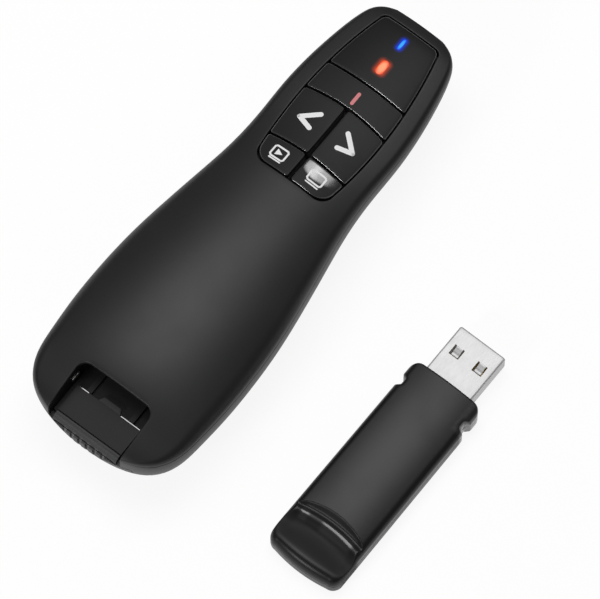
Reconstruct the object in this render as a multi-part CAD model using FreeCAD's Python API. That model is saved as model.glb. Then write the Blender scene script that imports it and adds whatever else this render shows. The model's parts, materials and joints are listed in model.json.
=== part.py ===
import FreeCAD, Part
import math
import os

from FreeCAD import Vector

os.makedirs("parts", exist_ok=True)

# Handset: outer form. Lengths in millimetres, +X towards the head, +Y to the left, +Z up from the table.
body_length = 116.4
body_width = 40.8
parting_height = 16.5
crown_height = 7.6
wall = 1.6
overrun = 1.0
station_count = 37

# Places along and across the outline, as shares of half the length and half the width
plan_shares = [
    (-1.0, 0.324), (-0.975, 0.585), (-0.93, 0.79), (-0.868, 0.904), (-0.75, 0.968),
    (-0.601, 0.998), (-0.464, 1.0), (-0.3, 0.975), (-0.12, 0.91), (0.06, 0.827),
    (0.22, 0.76), (0.38, 0.738), (0.52, 0.742), (0.66, 0.716), (0.8, 0.656),
    (0.9, 0.59), (0.96, 0.51), (0.988, 0.407), (1.0, 0.314),
]
# Height of the crown along the handset, as shares of half the length and of the crown height
crown_shares = [
    (-1.0, 0.12), (-0.985, 0.21), (-0.945, 0.34), (-0.86, 0.53), (-0.77, 0.74),
    (-0.68, 0.88), (-0.55, 0.97), (-0.43, 1.0), (-0.172, 0.947), (0.086, 0.776),
    (0.344, 0.566), (0.43, 0.505), (0.601, 0.455), (0.773, 0.395), (0.893, 0.33),
    (0.962, 0.25), (1.0, 0.16),
]
# Depth of the belly along the handset, as shares of half the length and of the parting height
belly_shares = [
    (-1.0, 0.4), (-0.985, 0.56), (-0.955, 0.75), (-0.91, 0.9), (-0.85, 0.98),
    (-0.79, 1.0), (-0.5, 1.0), (-0.2, 1.0), (0.07, 1.0), (0.17, 0.98),
    (0.3, 0.9), (0.45, 0.81), (0.62, 0.75), (0.79, 0.71), (0.89, 0.66),
    (0.955, 0.57), (0.985, 0.47), (1.0, 0.38),
]
flat_back_share = -0.79
flat_front_share = 0.09
crown_shoulder_share = 0.55
belly_spread_share = 0.6875
sole_trim = 0.05

# USB receiver
plug_width = 12.0
plug_height = 4.5
plug_length = 11.75
plug_root = 3.0
plug_wall = 0.3
plug_window = 2.5
plug_window_pitch = 6.1
plug_window_setback = 5.2
receiver_length = 51.0
receiver_width = 18.5
receiver_front_width = 18.0
receiver_height = 6.8
receiver_base_height = 3.0
receiver_crown_rise = 2.6
receiver_shoulder = 1.8
receiver_corner = 2.4
receiver_bow = 0.7
receiver_wall = 1.0
receiver_notch_setback = 4.2
receiver_notch_length = 2.6
receiver_notch_depth = 1.0
thumb_start = 2.6
thumb_end = 13.2
thumb_ridge = 11.2
thumb_depth = 2.1
thumb_ridge_depth = 1.2
receiver_board_thickness = 1.0
tongue_thickness = 1.9
contact_width = 1.2
contact_pitch = 2.3
contact_thickness = 0.2
receiver_chip_size = 7.0
receiver_chip_height = 0.9

# Receiver as it lies on the table beside the handset
receiver_rear_place = -50.0
receiver_side_place = -50.45
receiver_turn_degrees = -0.95

# Receiver bay in the tail
bay_clearance = 0.2
bay_mouth_length = 12.6
bay_mouth_corner = 2.2
tray_thickness = 0.8
tray_wall = 0.8
tray_fit = 0.1
sill_thickness = 0.9
sill_width = 16.6
sill_length = 8.7
sill_lip_radius = 1.7
sill_tab_length = 1.1
sill_tab_width = 5.6
sill_tab_tip_width = 4.2
tail_setback = 0.6
runner_width = 1.2
runner_pitch = 11.0
catch_length = 2.4
catch_height = 1.6
catch_thickness = 0.3
catch_proud = 0.1
catch_setback = 1.4
catch_rise = 0.5
nest_wall = 0.9
nest_setback = 2.35

# Batteries and their contacts
battery_radius = 5.25
battery_length = 44.5
battery_gap = 0.7
battery_nub_radius = 1.9
battery_nub_length = 0.9
battery_headroom = 0.4
cradle_clearance = 0.25
compartment_setback = 7.0
contact_plate_thickness = 0.3
contact_leaf_width = 6.0
contact_leaf_depth = 3.5
link_plate_width = 19.0
link_plate_height = 6.0

# Battery door
door_floor = 1.45
door_half_width = 11.7
door_side_height = 5.4
door_fit = 0.15
door_front_gap = 1.7
door_tail_wall = 3.4
tongue_width = 6.0
tongue_length = 2.7
tongue_rise = 0.9
door_tongue_thickness = 0.7
grip_count = 6
grip_pitch = 2.0
grip_width = 0.9
grip_depth = 0.5

# Keys and the lit panel: places are shares of half the length, half widths of half the width
field_front_share = 0.957
field_back_share = 0.208
field_wide_place_share = 0.464
field_front_half_share = 0.3725
field_wide_half_share = 0.522
field_back_half_share = 0.4755
field_front_corner = 1.5
field_back_corner = 3.2
panel_edge_share = 0.682
panel_edge_bow = 0.5
laser_edge_share = 0.5636
laser_edge_bow = 1.2
arrow_edge_share = 0.33
arrow_edge_bow = 0.9
field_gap = 0.25
row_gap = 0.5
centre_gap = 1.0
key_rise = 0.2
panel_rise = 0.1
key_travel = 0.5
key_float = 0.3
key_wall = 1.1
key_fit = 0.05
stem_width = 3.2

# Tact switches on the main board
board_drop = 7.2
board_thickness = 1.2
switch_size = 6.0
switch_height = 3.6
plunger_width = 2.4
plunger_rise = 1.0
plunger_depth = 1.1
arrow_switch_place_share = 0.438
arrow_switch_side_share = 0.25
laser_switch_place_share = 0.6185
small_switch_place_share = 0.268
small_switch_side_share = 0.245

# Key carrier and status lights
carrier_thickness = 1.2
carrier_skirt = 2.0
carrier_skirt_wall = 1.0
light_board_thickness = 0.5
light_board_width = 4.4
light_height = 0.5
light_length = 1.6
light_width = 0.8
link_light_place_share = 0.888
link_slot_length = 2.9
link_slot_width = 0.7
laser_light_place_share = 0.7715
laser_slot_length = 3.2
laser_slot_width = 1.2
panel_pocket_height = 1.2

# Laser
laser_axis_drop = 4.1
laser_radius = 2.6
laser_length = 12.0
laser_bore = 1.8
lens_thickness = 1.0
lens_setback = 0.6
window_bore = 1.6
window_radius = 2.1
window_thickness = 0.8

# Hollows in the two covers
head_back_share = 0.1478
nose_wall = 2.9
head_ledge_inset = 2.6
head_floor_inset = 5.1
channel_half = 5.5
channel_front_share = 0.687
channel_depth = 2.8
palm_pocket_back_share = -0.756
palm_pocket_front_share = -0.12
palm_pocket_rim = 2.4
palm_pocket_floor = 12.0
deep_pocket_front_share = -0.24
deep_pocket_reach_share = 0.33
deep_pocket_floor = 8.6
crown_pocket_reach_share = 0.6
crown_pocket_height = 2.6
crown_pocket_back_share = -0.687
rim_relief_height = 1.0
rim_relief_inset = 2.2
rim_relief_front_share = 0.8075

# Power switch in the left side wall of the head
power_place_share = 0.756
power_body_length = 7.0
power_body_depth = 3.0
power_body_height = 2.6
power_travel = 2.4
power_knob_length = 3.6
power_knob_height = 2.0
power_knob_reach = 0.6
power_shank_length = 2.4
power_shank_height = 1.2
power_fit = 0.15
power_rib_count = 3

# Chips on the main board
chip_size = 5.0
chip_height = 0.9
chip_place_share = 0.52
crystal_length = 3.2
crystal_width = 2.5
crystal_height = 0.8
crystal_setback = 1.8

half_length = body_length / 2
half_width = body_width / 2
tail_x = -half_length
nose_x = half_length

# Places along the handset and half widths of the key field, from their shares
field_front = field_front_share * half_length
field_back = field_back_share * half_length
field_wide_place = field_wide_place_share * half_length
field_front_half = field_front_half_share * half_width
field_wide_half = field_wide_half_share * half_width
field_back_half = field_back_half_share * half_width
panel_edge = panel_edge_share * half_length
laser_edge = laser_edge_share * half_length
arrow_edge = arrow_edge_share * half_length
arrow_switch_place = arrow_switch_place_share * half_length
arrow_switch_side = arrow_switch_side_share * half_width
laser_switch_place = laser_switch_place_share * half_length
small_switch_place = small_switch_place_share * half_length
small_switch_side = small_switch_side_share * half_width
link_light_place = link_light_place_share * half_length
laser_light_place = laser_light_place_share * half_length
head_back = head_back_share * half_length
head_front = nose_x - nose_wall
channel_front = channel_front_share * half_length
palm_pocket_back = palm_pocket_back_share * half_length
palm_pocket_front = palm_pocket_front_share * half_length
deep_pocket_front = deep_pocket_front_share * half_length
crown_pocket_back = crown_pocket_back_share * half_length
rim_relief_front = rim_relief_front_share * half_length
power_place = power_place_share * half_length
chip_place = chip_place_share * half_length
crystal_place = head_back + crystal_setback


def share_curve(shares, x_size, y_size):
    """Smooth curve through points given as shares of two sizes."""
    curve = Part.BSplineCurve()
    curve.interpolate([Vector(x * x_size, y * y_size, 0) for x, y in shares])
    return curve


def height_at(curve, x):
    """Second coordinate of a curve where its first coordinate is x."""
    low, high = curve.FirstParameter, curve.LastParameter
    for _ in range(40):
        middle = (low + high) / 2
        if curve.value(middle).x < x:
            low = middle
        else:
            high = middle
    return curve.value((low + high) / 2).y


plan = share_curve(plan_shares, half_length, half_width)
crown = share_curve(crown_shares, half_length, crown_height)
belly = share_curve(belly_shares, half_length, parting_height)
stations = [
    half_length * math.sin(math.pi / 2 * (2 * i / (station_count - 1) - 1)) for i in range(station_count)
]


def box(x0, x1, y0, y1, z0, z1):
    return Part.makeBox(x1 - x0, y1 - y0, z1 - z0, Vector(x0, y0, z0))


def middle_box(x0, x1, width, z0, z1, y=0):
    return box(x0, x1, y - width / 2, y + width / 2, z0, z1)


def square_post(width, x, y, z0, z1):
    return middle_box(x - width / 2, x + width / 2, width, z0, z1, y)


def rod(radius, x0, x1, y, z):
    return Part.makeCylinder(radius, x1 - x0, Vector(x0, y, z), Vector(1, 0, 0))


def fuse_all(shapes):
    first, rest = shapes[0], shapes[1:]
    return first.fuse(rest).removeSplitter() if rest else first


def loft(wires):
    return Part.makeLoft(wires, True, True)


def path_face(start, steps, place):
    """Face inside a closed path of lines (x, y) and arcs ((mid x, mid y), (x, y))."""
    edges, here = [], place(*start)
    for step in steps:
        if isinstance(step[0], tuple):
            end = place(*step[1])
            edges.append(Part.Arc(here, place(*step[0]), end).toShape())
        else:
            end = place(*step)
            edges.append(Part.LineSegment(here, end).toShape())
        here = end
    first = place(*start)
    if (here - first).Length > 0:
        edges.append(Part.LineSegment(here, first).toShape())
    return Part.Face(Part.Wire(edges))


def plan_prism(start, steps, z0, z1):
    face = path_face(start, steps, lambda a, b: Vector(a, b, z0))
    return face.extrude(Vector(0, 0, z1 - z0))


def side_prism(start, steps, width, y=0):
    """Profile in the XZ plane, extruded across the handset."""
    face = path_face(start, steps, lambda a, b: Vector(a, y - width / 2, b))
    return face.extrude(Vector(0, width, 0))


def arch_radius(half, rise, shoulder):
    """Radius of the middle arc of a three-centred arch: its ends touch two shoulder arcs."""
    return ((half - shoulder) ** 2 + rise ** 2 - shoulder ** 2) / (2 * (rise - shoulder))


def arch_edges(x, half, rise, shoulder, base):
    """Three tangent arcs across the handset at x."""
    radius = arch_radius(half, rise, shoulder)
    lean = math.atan2(radius - rise, half - shoulder)
    side = half - shoulder

    def at(y, z):
        return Vector(x, y, base + z)

    joint = (side + shoulder * math.cos(lean), shoulder * math.sin(lean))
    knee = (side + shoulder * math.cos(lean / 2), shoulder * math.sin(lean / 2))
    left = Part.Arc(at(-half, 0), at(-knee[0], knee[1]), at(-joint[0], joint[1]))
    middle = Part.Arc(at(-joint[0], joint[1]), at(0, rise), at(*joint))
    right = Part.Arc(at(*joint), at(*knee), at(half, 0))
    return [left.toShape(), middle.toShape(), right.toShape()]


def arch_wire(x, half, rise, shoulder, base):
    """Arch on short upright legs that reach past its base, to be cut level there."""
    edges = arch_edges(x, half, rise, shoulder, base)
    low = base - overrun
    corners = [Vector(x, half, base), Vector(x, half, low), Vector(x, -half, low), Vector(x, -half, base)]
    edges += [Part.LineSegment(a, b).toShape() for a, b in zip(corners, corners[1:])]
    return Part.Wire(edges)


def between(z0, z1):
    return middle_box(tail_x - overrun, nose_x + overrun, 2 * body_width, z0, z1)


def upper_half():
    """Upper half of the outer form: three-centred arches along the handset, skinned in narrow bands."""
    wires = []
    for x in stations:
        half, rise = height_at(plan, x), height_at(crown, x)
        wires.append(arch_wire(x, half, rise, crown_shoulder_share * rise, parting_height))
    return loft(wires).common(between(parting_height, parting_height + 2 * crown_height))


def belly_size(x):
    """Half width, depth, half width of the flat underside and radius of the side arcs at x."""
    half, depth = height_at(plan, x), parting_height + sole_trim
    if not flat_back_share * half_length < x < flat_front_share * half_length:
        depth = min(depth, height_at(belly, x))
    spread = belly_spread_share * half_width * depth / parting_height
    return half, depth, half - spread, (spread ** 2 + depth ** 2) / (2 * depth)


def belly_wire(x):
    """Two arcs that meet a level underside, on legs that reach past the parting plane."""
    half, depth, flat, radius = belly_size(x)
    turn = math.asin((half - flat) / radius) / 2
    side, low = flat + radius * math.sin(turn), parting_height - depth
    knee = low + radius * (1 - math.cos(turn))
    top = parting_height + overrun
    right = Part.Arc(Vector(x, flat, low), Vector(x, side, knee), Vector(x, half, parting_height))
    left = Part.Arc(Vector(x, -half, parting_height), Vector(x, -side, knee), Vector(x, -flat, low))
    corners = [Vector(x, half, parting_height), Vector(x, half, top), Vector(x, -half, top),
               Vector(x, -half, parting_height)]
    legs = [Part.LineSegment(a, b).toShape() for a, b in zip(corners, corners[1:])]
    under = Part.LineSegment(Vector(x, -flat, low), Vector(x, flat, low)).toShape()
    return Part.Wire([right.toShape()] + legs + [left.toShape(), under])


def lower_half():
    """Lower half of the outer form, trimmed level underneath, where the handset stands on the table."""
    body = loft([belly_wire(x) for x in stations])
    return body.common(between(0, parting_height)).removeSplitter()


def crown_arc(x):
    """Radius and centre height of the middle arc of the crown at x."""
    half, rise = height_at(plan, x), height_at(crown, x)
    radius = arch_radius(half, rise, crown_shoulder_share * rise)
    return radius, parting_height + rise - radius


def crown_slab(rise, half, floor, x0, x1):
    """Block under the crown's middle arc, raised by a small step, flush with the cover's bands."""
    inside = [x for x in stations if x0 < x < x1]
    wires = []
    for x in [x0] + inside + [x1]:
        radius, centre = crown_arc(x)
        radius += rise
        edge = centre + math.sqrt(radius ** 2 - half ** 2)
        left, right = Vector(x, half, edge), Vector(x, -half, edge)
        low_left, low_right = Vector(x, half, floor), Vector(x, -half, floor)
        edges = [
            Part.Arc(right, Vector(x, 0, centre + radius), left).toShape(),
            Part.LineSegment(left, low_left).toShape(),
            Part.LineSegment(low_left, low_right).toShape(),
            Part.LineSegment(low_right, right).toShape(),
        ]
        wires.append(Part.Wire(edges))
    return loft(wires)


def inset_edge(x0, x1, inset, side, z):
    """Arc that follows the outline at an inset."""
    points = [Vector(x, side * (height_at(plan, x) - inset), z) for x in (x0, (x0 + x1) / 2, x1)]
    return Part.Arc(*points).toShape(), points[0], points[-1]


def follow_prism(x0, x1, inset, z0, z1):
    """Prism whose two long sides follow the outline."""
    left, left_back, left_front = inset_edge(x0, x1, inset, 1, z0)
    right, right_back, right_front = inset_edge(x0, x1, inset, -1, z0)
    front = Part.LineSegment(left_front, right_front).toShape()
    back = Part.LineSegment(right_back, left_back).toShape()
    face = Part.Face(Part.Wire(Part.__sortEdges__([left, front, right, back])))
    return face.extrude(Vector(0, 0, z1 - z0))


def side_pocket(x0, x1, inner, rim, z0, z1, side, reach_share=1):
    """Prism from a straight inner wall out to an arc, at a share of the way to the outline less a rim."""
    points = []
    for x in (x0, (x0 + x1) / 2, x1):
        room = height_at(plan, x) - rim - inner
        points.append(Vector(x, side * (inner + reach_share * room), z0))
    low, high = Vector(x0, side * inner, z0), Vector(x1, side * inner, z0)
    edges = [
        Part.Arc(*points).toShape(),
        Part.LineSegment(points[-1], high).toShape(),
        Part.LineSegment(high, low).toShape(),
        Part.LineSegment(low, points[0]).toShape(),
    ]
    face = Part.Face(Part.Wire(Part.__sortEdges__(edges)))
    return face.extrude(Vector(0, 0, z1 - z0))


def both_sides(make):
    return [make(1), make(-1)]


# Heights that follow from the sizes above
battery_axis = door_floor + cradle_clearance + battery_radius
battery_side = battery_radius + battery_gap / 2
tray_under = battery_axis + battery_radius + battery_headroom
tray_top = tray_under + tray_thickness
sill_top = tray_top + sill_thickness
bay_half = receiver_width / 2 + bay_clearance
bay_front = tail_x + bay_mouth_length
nest_front = head_back - nest_setback
plug_tip_stowed = nest_front - nest_wall - bay_clearance
receiver_front_stowed = plug_tip_stowed - plug_length
roof_spring = sill_top + receiver_height - receiver_crown_rise
tray_half = bay_half + tray_wall
plug_middle = sill_top + receiver_height / 2
nest_half = plug_width / 2 + bay_clearance + nest_wall
nest_top = plug_middle + plug_height / 2 + bay_clearance
compartment_back = tail_x + compartment_setback
battery_back = compartment_back + contact_leaf_depth
battery_front = battery_back + battery_length
compartment_front = battery_front + contact_plate_thickness
compartment_half = battery_side + cradle_clearance + battery_radius
palm_pocket_inner = compartment_half + wall
door_front = compartment_front + door_front_gap
door_tail_inner = tail_x + door_tail_wall
door_tail_top = tray_under - 2 * door_fit
board_under = parting_height - board_drop
board_top = board_under + board_thickness
switch_top = board_top + switch_height
plunger_top = switch_top + plunger_rise
carrier_top = parting_height
carrier_under = carrier_top - carrier_thickness
ledge_height = carrier_under - carrier_skirt
key_under = carrier_top + key_travel + key_float
laser_axis = parting_height - laser_axis_drop
laser_front = head_front - 2 * door_fit
laser_back = laser_front - laser_length
light_top = carrier_top + light_board_thickness + light_height
carrier_inset = head_ledge_inset + 2 * door_fit
board_inset = head_floor_inset + door_fit
key_places = {
    "laser": (laser_switch_place, 0),
    "previous": (arrow_switch_place, arrow_switch_side),
    "next": (arrow_switch_place, -arrow_switch_side),
    "slideshow": (small_switch_place, small_switch_side),
    "blank": (small_switch_place, -small_switch_side),
}


def corner_steps(end, side, out):
    """Quarter turn from a point on an end to a point on a side, or back if out is False."""
    turn = math.sqrt(0.5)
    middle = (side[0] + (end[0] - side[0]) * turn, end[1] + (side[1] - end[1]) * turn)
    return (middle, side if out else end)


def key_field(inset, z0, z1):
    """Prism over the whole field of keys and panel: a tapered oval with bowed sides."""
    front, back = field_front - inset, field_back + inset
    front_side = field_front - field_front_corner
    back_side = field_back + field_back_corner
    front_half, back_half = field_front_half - inset, field_back_half - inset
    front_end = front_half - field_front_corner
    back_end = back_half - field_back_corner
    wide = (field_wide_place, field_wide_half - inset)
    steps = [
        corner_steps((back, back_end), (back_side, back_half), True),
        (wide, (front_side, front_half)),
        corner_steps((front, front_end), (front_side, front_half), False),
        (front, -front_end),
        corner_steps((front, -front_end), (front_side, -front_half), True),
        ((wide[0], -wide[1]), (back_side, -back_half)),
        corner_steps((back, -back_end), (back_side, -back_half), False),
        (back, back_end),
    ]
    return plan_prism((back, back_end), steps, z0, z1)


def row_prism(low, low_bow, high, high_bow, z0, z1):
    """Prism between two bowed lines across the field."""
    side = field_wide_half + overrun
    low_end, high_end = low - low_bow, high - high_bow
    steps = [
        ((low, 0), (low_end, side)) if low_bow else (low_end, side),
        (high_end, side),
        ((high, 0), (high_end, -side)) if high_bow else (high_end, -side),
        (low_end, -side),
    ]
    return plan_prism((low_end, -side), steps, z0, z1)


def key_region(row, side, inset, z0, z1):
    """Outline of one key or of the panel, drawn in by inset from the middle of the gaps round it."""
    step = row_gap / 2 + inset
    rows = {
        "panel": (panel_edge, panel_edge_bow, field_front + overrun, 0),
        "laser": (laser_edge, laser_edge_bow, panel_edge, panel_edge_bow),
        "arrow": (arrow_edge, arrow_edge_bow, laser_edge, laser_edge_bow),
        "small": (field_back - overrun, 0, arrow_edge, arrow_edge_bow),
    }
    low, low_bow, high, high_bow = rows[row]
    region = row_prism(low + step, low_bow, high - step, high_bow, z0, z1)
    region = region.common(key_field(field_gap + inset, z0, z1))
    if side:
        inner = centre_gap / 2 + inset
        outer = field_wide_half + overrun
        y0, y1 = min(side * inner, side * outer), max(side * inner, side * outer)
        region = region.common(box(field_back - overrun, field_front + overrun, y0, y1, z0, z1))
    return region


def top_cover():
    shell = upper_half()
    top = parting_height + crown_height + overrun
    low = parting_height - overrun
    cuts = [key_field(0, low, top), bay_mouth(low, top), tunnel()]
    cuts.append(middle_box(bay_front - tray_fit, tray_wall_front() + tray_fit, 2 * (tray_half + tray_fit),
                           low, roof_spring + tray_fit))
    cuts.append(middle_box(receiver_front_stowed - overrun, nest_front + tray_fit,
                           2 * (nest_half + tray_fit), low, nest_top + tray_fit))
    cuts += both_sides(lambda side: side_pocket(
        crown_pocket_back, palm_pocket_front, tray_half + wall, wall, low,
        parting_height + crown_pocket_height, side, crown_pocket_reach_share))
    cuts.append(follow_prism(head_back, rim_relief_front, rim_relief_inset,
                             low, parting_height + rim_relief_height))
    return shell.cut(cuts)


def bay_mouth(z0, z1):
    """The opening in the tail through which the receiver goes in, with rounded front corners."""
    turn = bay_mouth_corner * (1 - math.sqrt(0.5))
    corner = bay_front - bay_mouth_corner
    inner = bay_half - bay_mouth_corner
    steps = [
        (corner, bay_half),
        ((bay_front - turn, bay_half - turn), (bay_front, inner)),
        (bay_front, -inner),
        ((bay_front - turn, -bay_half + turn), (corner, -bay_half)),
        (tail_x - overrun, -bay_half),
        (tail_x - overrun, bay_half),
    ]
    return plan_prism((tail_x - overrun, bay_half), steps, z0, z1)


def tunnel():
    """Arched space that the stowed receiver fills, under the palm."""
    rise = receiver_crown_rise + bay_clearance
    shoulder = receiver_shoulder + bay_clearance
    ends = (tail_x - overrun, receiver_front_stowed + bay_clearance)
    wires = [arch_wire(x, bay_half, rise, shoulder, roof_spring) for x in ends]
    low = middle_box(ends[0], ends[1], 2 * bay_half, parting_height - overrun, roof_spring)
    return loft(wires).fuse(low).removeSplitter()


def tray_wall_front():
    return receiver_front_stowed + bay_clearance + tray_wall


def receiver_tray():
    mouth = box(tail_x + sill_lip_radius + tail_setback, bay_front, tray_fit - bay_half,
                bay_half - tray_fit, tray_under, tray_top)
    floor = middle_box(bay_front, tray_wall_front(), 2 * tray_half, tray_under, tray_top)
    walls = both_sides(lambda side: middle_box(
        bay_front, tray_wall_front(), tray_wall, tray_top, roof_spring, side * (bay_half + tray_wall / 2)))
    shoulder = middle_box(receiver_front_stowed + bay_clearance, tray_wall_front(), 2 * tray_half,
                          tray_top, roof_spring)
    nest = middle_box(tray_wall_front() - tray_wall, nest_front, 2 * nest_half, tray_under, nest_top)
    runners = both_sides(lambda side: middle_box(
        tail_x + tail_setback + sill_length + tray_fit, receiver_front_stowed, runner_width, tray_top,
        sill_top, side * runner_pitch / 2))
    tray = fuse_all([floor, mouth, shoulder, nest] + walls + runners)
    pocket = middle_box(receiver_front_stowed, nest_front - nest_wall, plug_width + 2 * bay_clearance,
                        plug_middle - plug_height / 2 - bay_clearance, nest_top + overrun)
    return tray.cut(pocket)


def catch_leaf(side):
    """Steel leaf let into the side of the bay, a little proud of it."""
    x1 = bay_front - catch_setback
    y = side * (bay_half + catch_thickness / 2 - catch_proud)
    low = sill_top + catch_rise
    return middle_box(x1 - catch_length, x1, catch_thickness, low, low + catch_height, y)


def bay_sill():
    """Pad across the mouth of the bay with a rounded lip towards the tail and a tab towards the head."""
    back = tail_x + tail_setback
    top_back = back + sill_lip_radius
    turn = sill_lip_radius * (1 - math.sqrt(0.5))
    front = tail_x + tail_setback + sill_length
    steps = [
        (back, sill_top - sill_lip_radius),
        ((back + turn, sill_top - turn), (top_back, sill_top)),
        (front, sill_top),
        (front, tray_top),
        (top_back, tray_top),
        (top_back, sill_top - sill_lip_radius),
    ]
    pad = side_prism((top_back, sill_top - sill_lip_radius), steps, sill_width)
    tip = front + sill_tab_length
    tab_steps = [
        (tip, sill_tab_tip_width / 2),
        (tip, -sill_tab_tip_width / 2),
        (front, -sill_tab_width / 2),
        (front, sill_tab_width / 2),
    ]
    tab = plan_prism((front, sill_tab_width / 2), tab_steps, tray_top, sill_top)
    return pad.fuse(tab).removeSplitter()


def bottom_cover():
    shell = lower_half()
    top = parting_height + overrun
    cuts = [door_space(), battery_space(), tray_space(top)]
    cuts += palm_pockets(top)
    cuts += head_space(top)
    cuts += [laser_space(), power_space()]
    cuts += both_sides(catch_leaf)
    return shell.cut(cuts)


def door_space():
    """Room for the battery door, its tail wall and its tongue."""
    low = -overrun
    half = door_half_width + door_fit
    plate = middle_box(tail_x - overrun, door_front + door_fit, 2 * half, low, door_side_height + door_fit)
    tail = middle_box(tail_x - overrun, door_tail_inner + door_fit, 2 * half, low, tray_under)
    slot = middle_box(door_front, door_front + tongue_length + 2 * door_fit, tongue_width + 2 * door_fit,
                      tongue_rise - door_fit, tongue_rise + door_tongue_thickness + door_fit)
    return fuse_all([plate, tail, slot])


def battery_space():
    return middle_box(compartment_back, compartment_front, 2 * compartment_half,
                      door_side_height, tray_under + tray_thickness)


def tray_space(top):
    mouth = middle_box(tail_x - overrun, bay_front, 2 * bay_half, tray_under, top)
    body = middle_box(bay_front - overrun, tray_wall_front() + tray_fit, 2 * (tray_half + tray_fit),
                      tray_under, top)
    nest = middle_box(receiver_front_stowed, nest_front + tray_fit, 2 * (nest_half + tray_fit),
                      tray_under, top)
    return fuse_all([mouth, body, nest])


def palm_pockets(top):
    upper = both_sides(lambda side: side_pocket(
        palm_pocket_back, palm_pocket_front, palm_pocket_inner, palm_pocket_rim,
        palm_pocket_floor, top, side))
    deep = both_sides(lambda side: side_pocket(
        palm_pocket_back, deep_pocket_front, palm_pocket_inner, palm_pocket_rim,
        deep_pocket_floor, top, side, deep_pocket_reach_share))
    return upper + deep


def head_space(top):
    ledge = follow_prism(head_back, head_front, head_ledge_inset, ledge_height, top)
    floor = follow_prism(head_back, head_front, head_floor_inset, board_under, top)
    floor = floor.cut(middle_box(laser_back, head_front, 2 * laser_radius, board_under - overrun,
                                 laser_axis - laser_radius / 3))
    channel = middle_box(head_back + wall, channel_front, 2 * channel_half,
                         board_under - channel_depth, board_under + overrun)
    return [ledge, floor, channel]


def laser_space():
    """Saddle under the laser module, window seat and beam hole through the nose."""
    saddle = rod(laser_radius + key_fit, laser_back - door_fit, head_front, 0, laser_axis)
    seat = rod(window_radius + key_fit, head_front - overrun, head_front + window_thickness, 0, laser_axis)
    hole = rod(window_bore, head_front, nose_x + overrun, 0, laser_axis)
    return fuse_all([saddle, seat, hole])


def power_height():
    return board_top + power_body_height / 2


def power_space():
    """Slot in the left side wall for the power knob, and the seat of its switch inside."""
    half = (power_knob_length + power_travel) / 2 + power_fit
    rise = power_knob_height / 2 + power_fit
    slot = box(power_place - half, power_place + half, power_side(), half_width + overrun,
               power_height() - rise, power_height() + rise)
    reach = power_body_length / 2 + power_fit
    seat = box(power_place - reach, power_place + reach, power_side() - power_body_depth,
               power_side() + power_fit, board_under, board_top + power_body_height + power_fit)
    return slot.fuse(seat)


def power_side():
    """Inner face of the head's left wall at the power switch."""
    return height_at(plan, power_place + power_body_length / 2) - board_inset


def power_switch():
    y1 = power_side()
    half = power_body_length / 2
    body = box(power_place - half, power_place + half, y1 - power_body_depth, y1, board_top,
               board_top + power_body_height)
    reach = (power_shank_length + power_travel) / 2 + power_fit
    rise = power_shank_height / 2 + power_fit
    return body.cut(box(power_place - reach, power_place + reach, y1 - power_body_depth / 2, y1 + overrun,
                        power_height() - rise, power_height() + rise))


def power_knob():
    """Ribbed knob, drawn with the switch off, at the tail end of its travel."""
    y0 = power_side()
    x = power_place - power_travel / 2
    face = outer_half(power_place, power_height()) + power_knob_reach
    shank = box(x - power_shank_length / 2, x + power_shank_length / 2, y0 - power_body_depth / 3,
                y0 + power_knob_reach + overrun, power_height() - power_shank_height / 2,
                power_height() + power_shank_height / 2)
    head = box(x - power_knob_length / 2, x + power_knob_length / 2, y0 + power_knob_reach, face,
               power_height() - power_knob_height / 2, power_height() + power_knob_height / 2)
    pitch = power_knob_length / (power_rib_count + 1)
    grooves = [
        middle_box(x + (i - 1) * pitch - pitch / 4, x + (i - 1) * pitch + pitch / 4, power_knob_reach,
                   power_height() - power_knob_height, power_height() + power_knob_height, face)
        for i in range(power_rib_count)
    ]
    return shank.fuse(head).removeSplitter().cut(grooves)


def outer_half(x, z):
    """Half width of the lower half of the body at a height."""
    half, depth, flat, radius = belly_size(x)
    drop = parting_height - depth + radius - z
    return flat + math.sqrt(radius ** 2 - drop ** 2)


def battery_door():
    width = 2 * door_half_width
    plate = middle_box(tail_x - overrun, door_front, width, -overrun, door_side_height)
    tail = middle_box(tail_x - overrun, door_tail_inner, width, -overrun, door_tail_top)
    door = lower_half().common(plate.fuse(tail).removeSplitter())
    cradles = both_sides(lambda side: rod(
        battery_radius + cradle_clearance, compartment_back, door_front + overrun, side * battery_side,
        battery_axis))
    door = door.cut(cradles + grip_grooves())
    tongue = middle_box(door_front - wall, door_front + tongue_length, tongue_width, tongue_rise,
                        tongue_rise + door_tongue_thickness)
    return door.fuse(tongue.cut(cradles)).removeSplitter()


def grip_grooves():
    grooves = []
    for i in range(grip_count):
        y = (i - (grip_count - 1) / 2) * grip_pitch
        grooves.append(middle_box(tail_x - overrun, tail_x + grip_depth, grip_width, door_side_height,
                                  tray_under, y))
    return grooves


def battery(side, forward):
    """Cell with its raised nub at the head end if forward, else at the tail end."""
    y = side * battery_side
    can_length = battery_length - battery_nub_length
    start = battery_back if forward else battery_back + battery_nub_length
    can = rod(battery_radius, start, start + can_length, y, battery_axis)
    nub_start = start + can_length if forward else battery_back
    nub = rod(battery_nub_radius, nub_start, nub_start + battery_nub_length, y, battery_axis)
    return can.fuse(nub)


def battery_link():
    low = door_side_height + door_fit
    return middle_box(compartment_front - contact_plate_thickness, compartment_front, link_plate_width,
                      low, low + link_plate_height)


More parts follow.
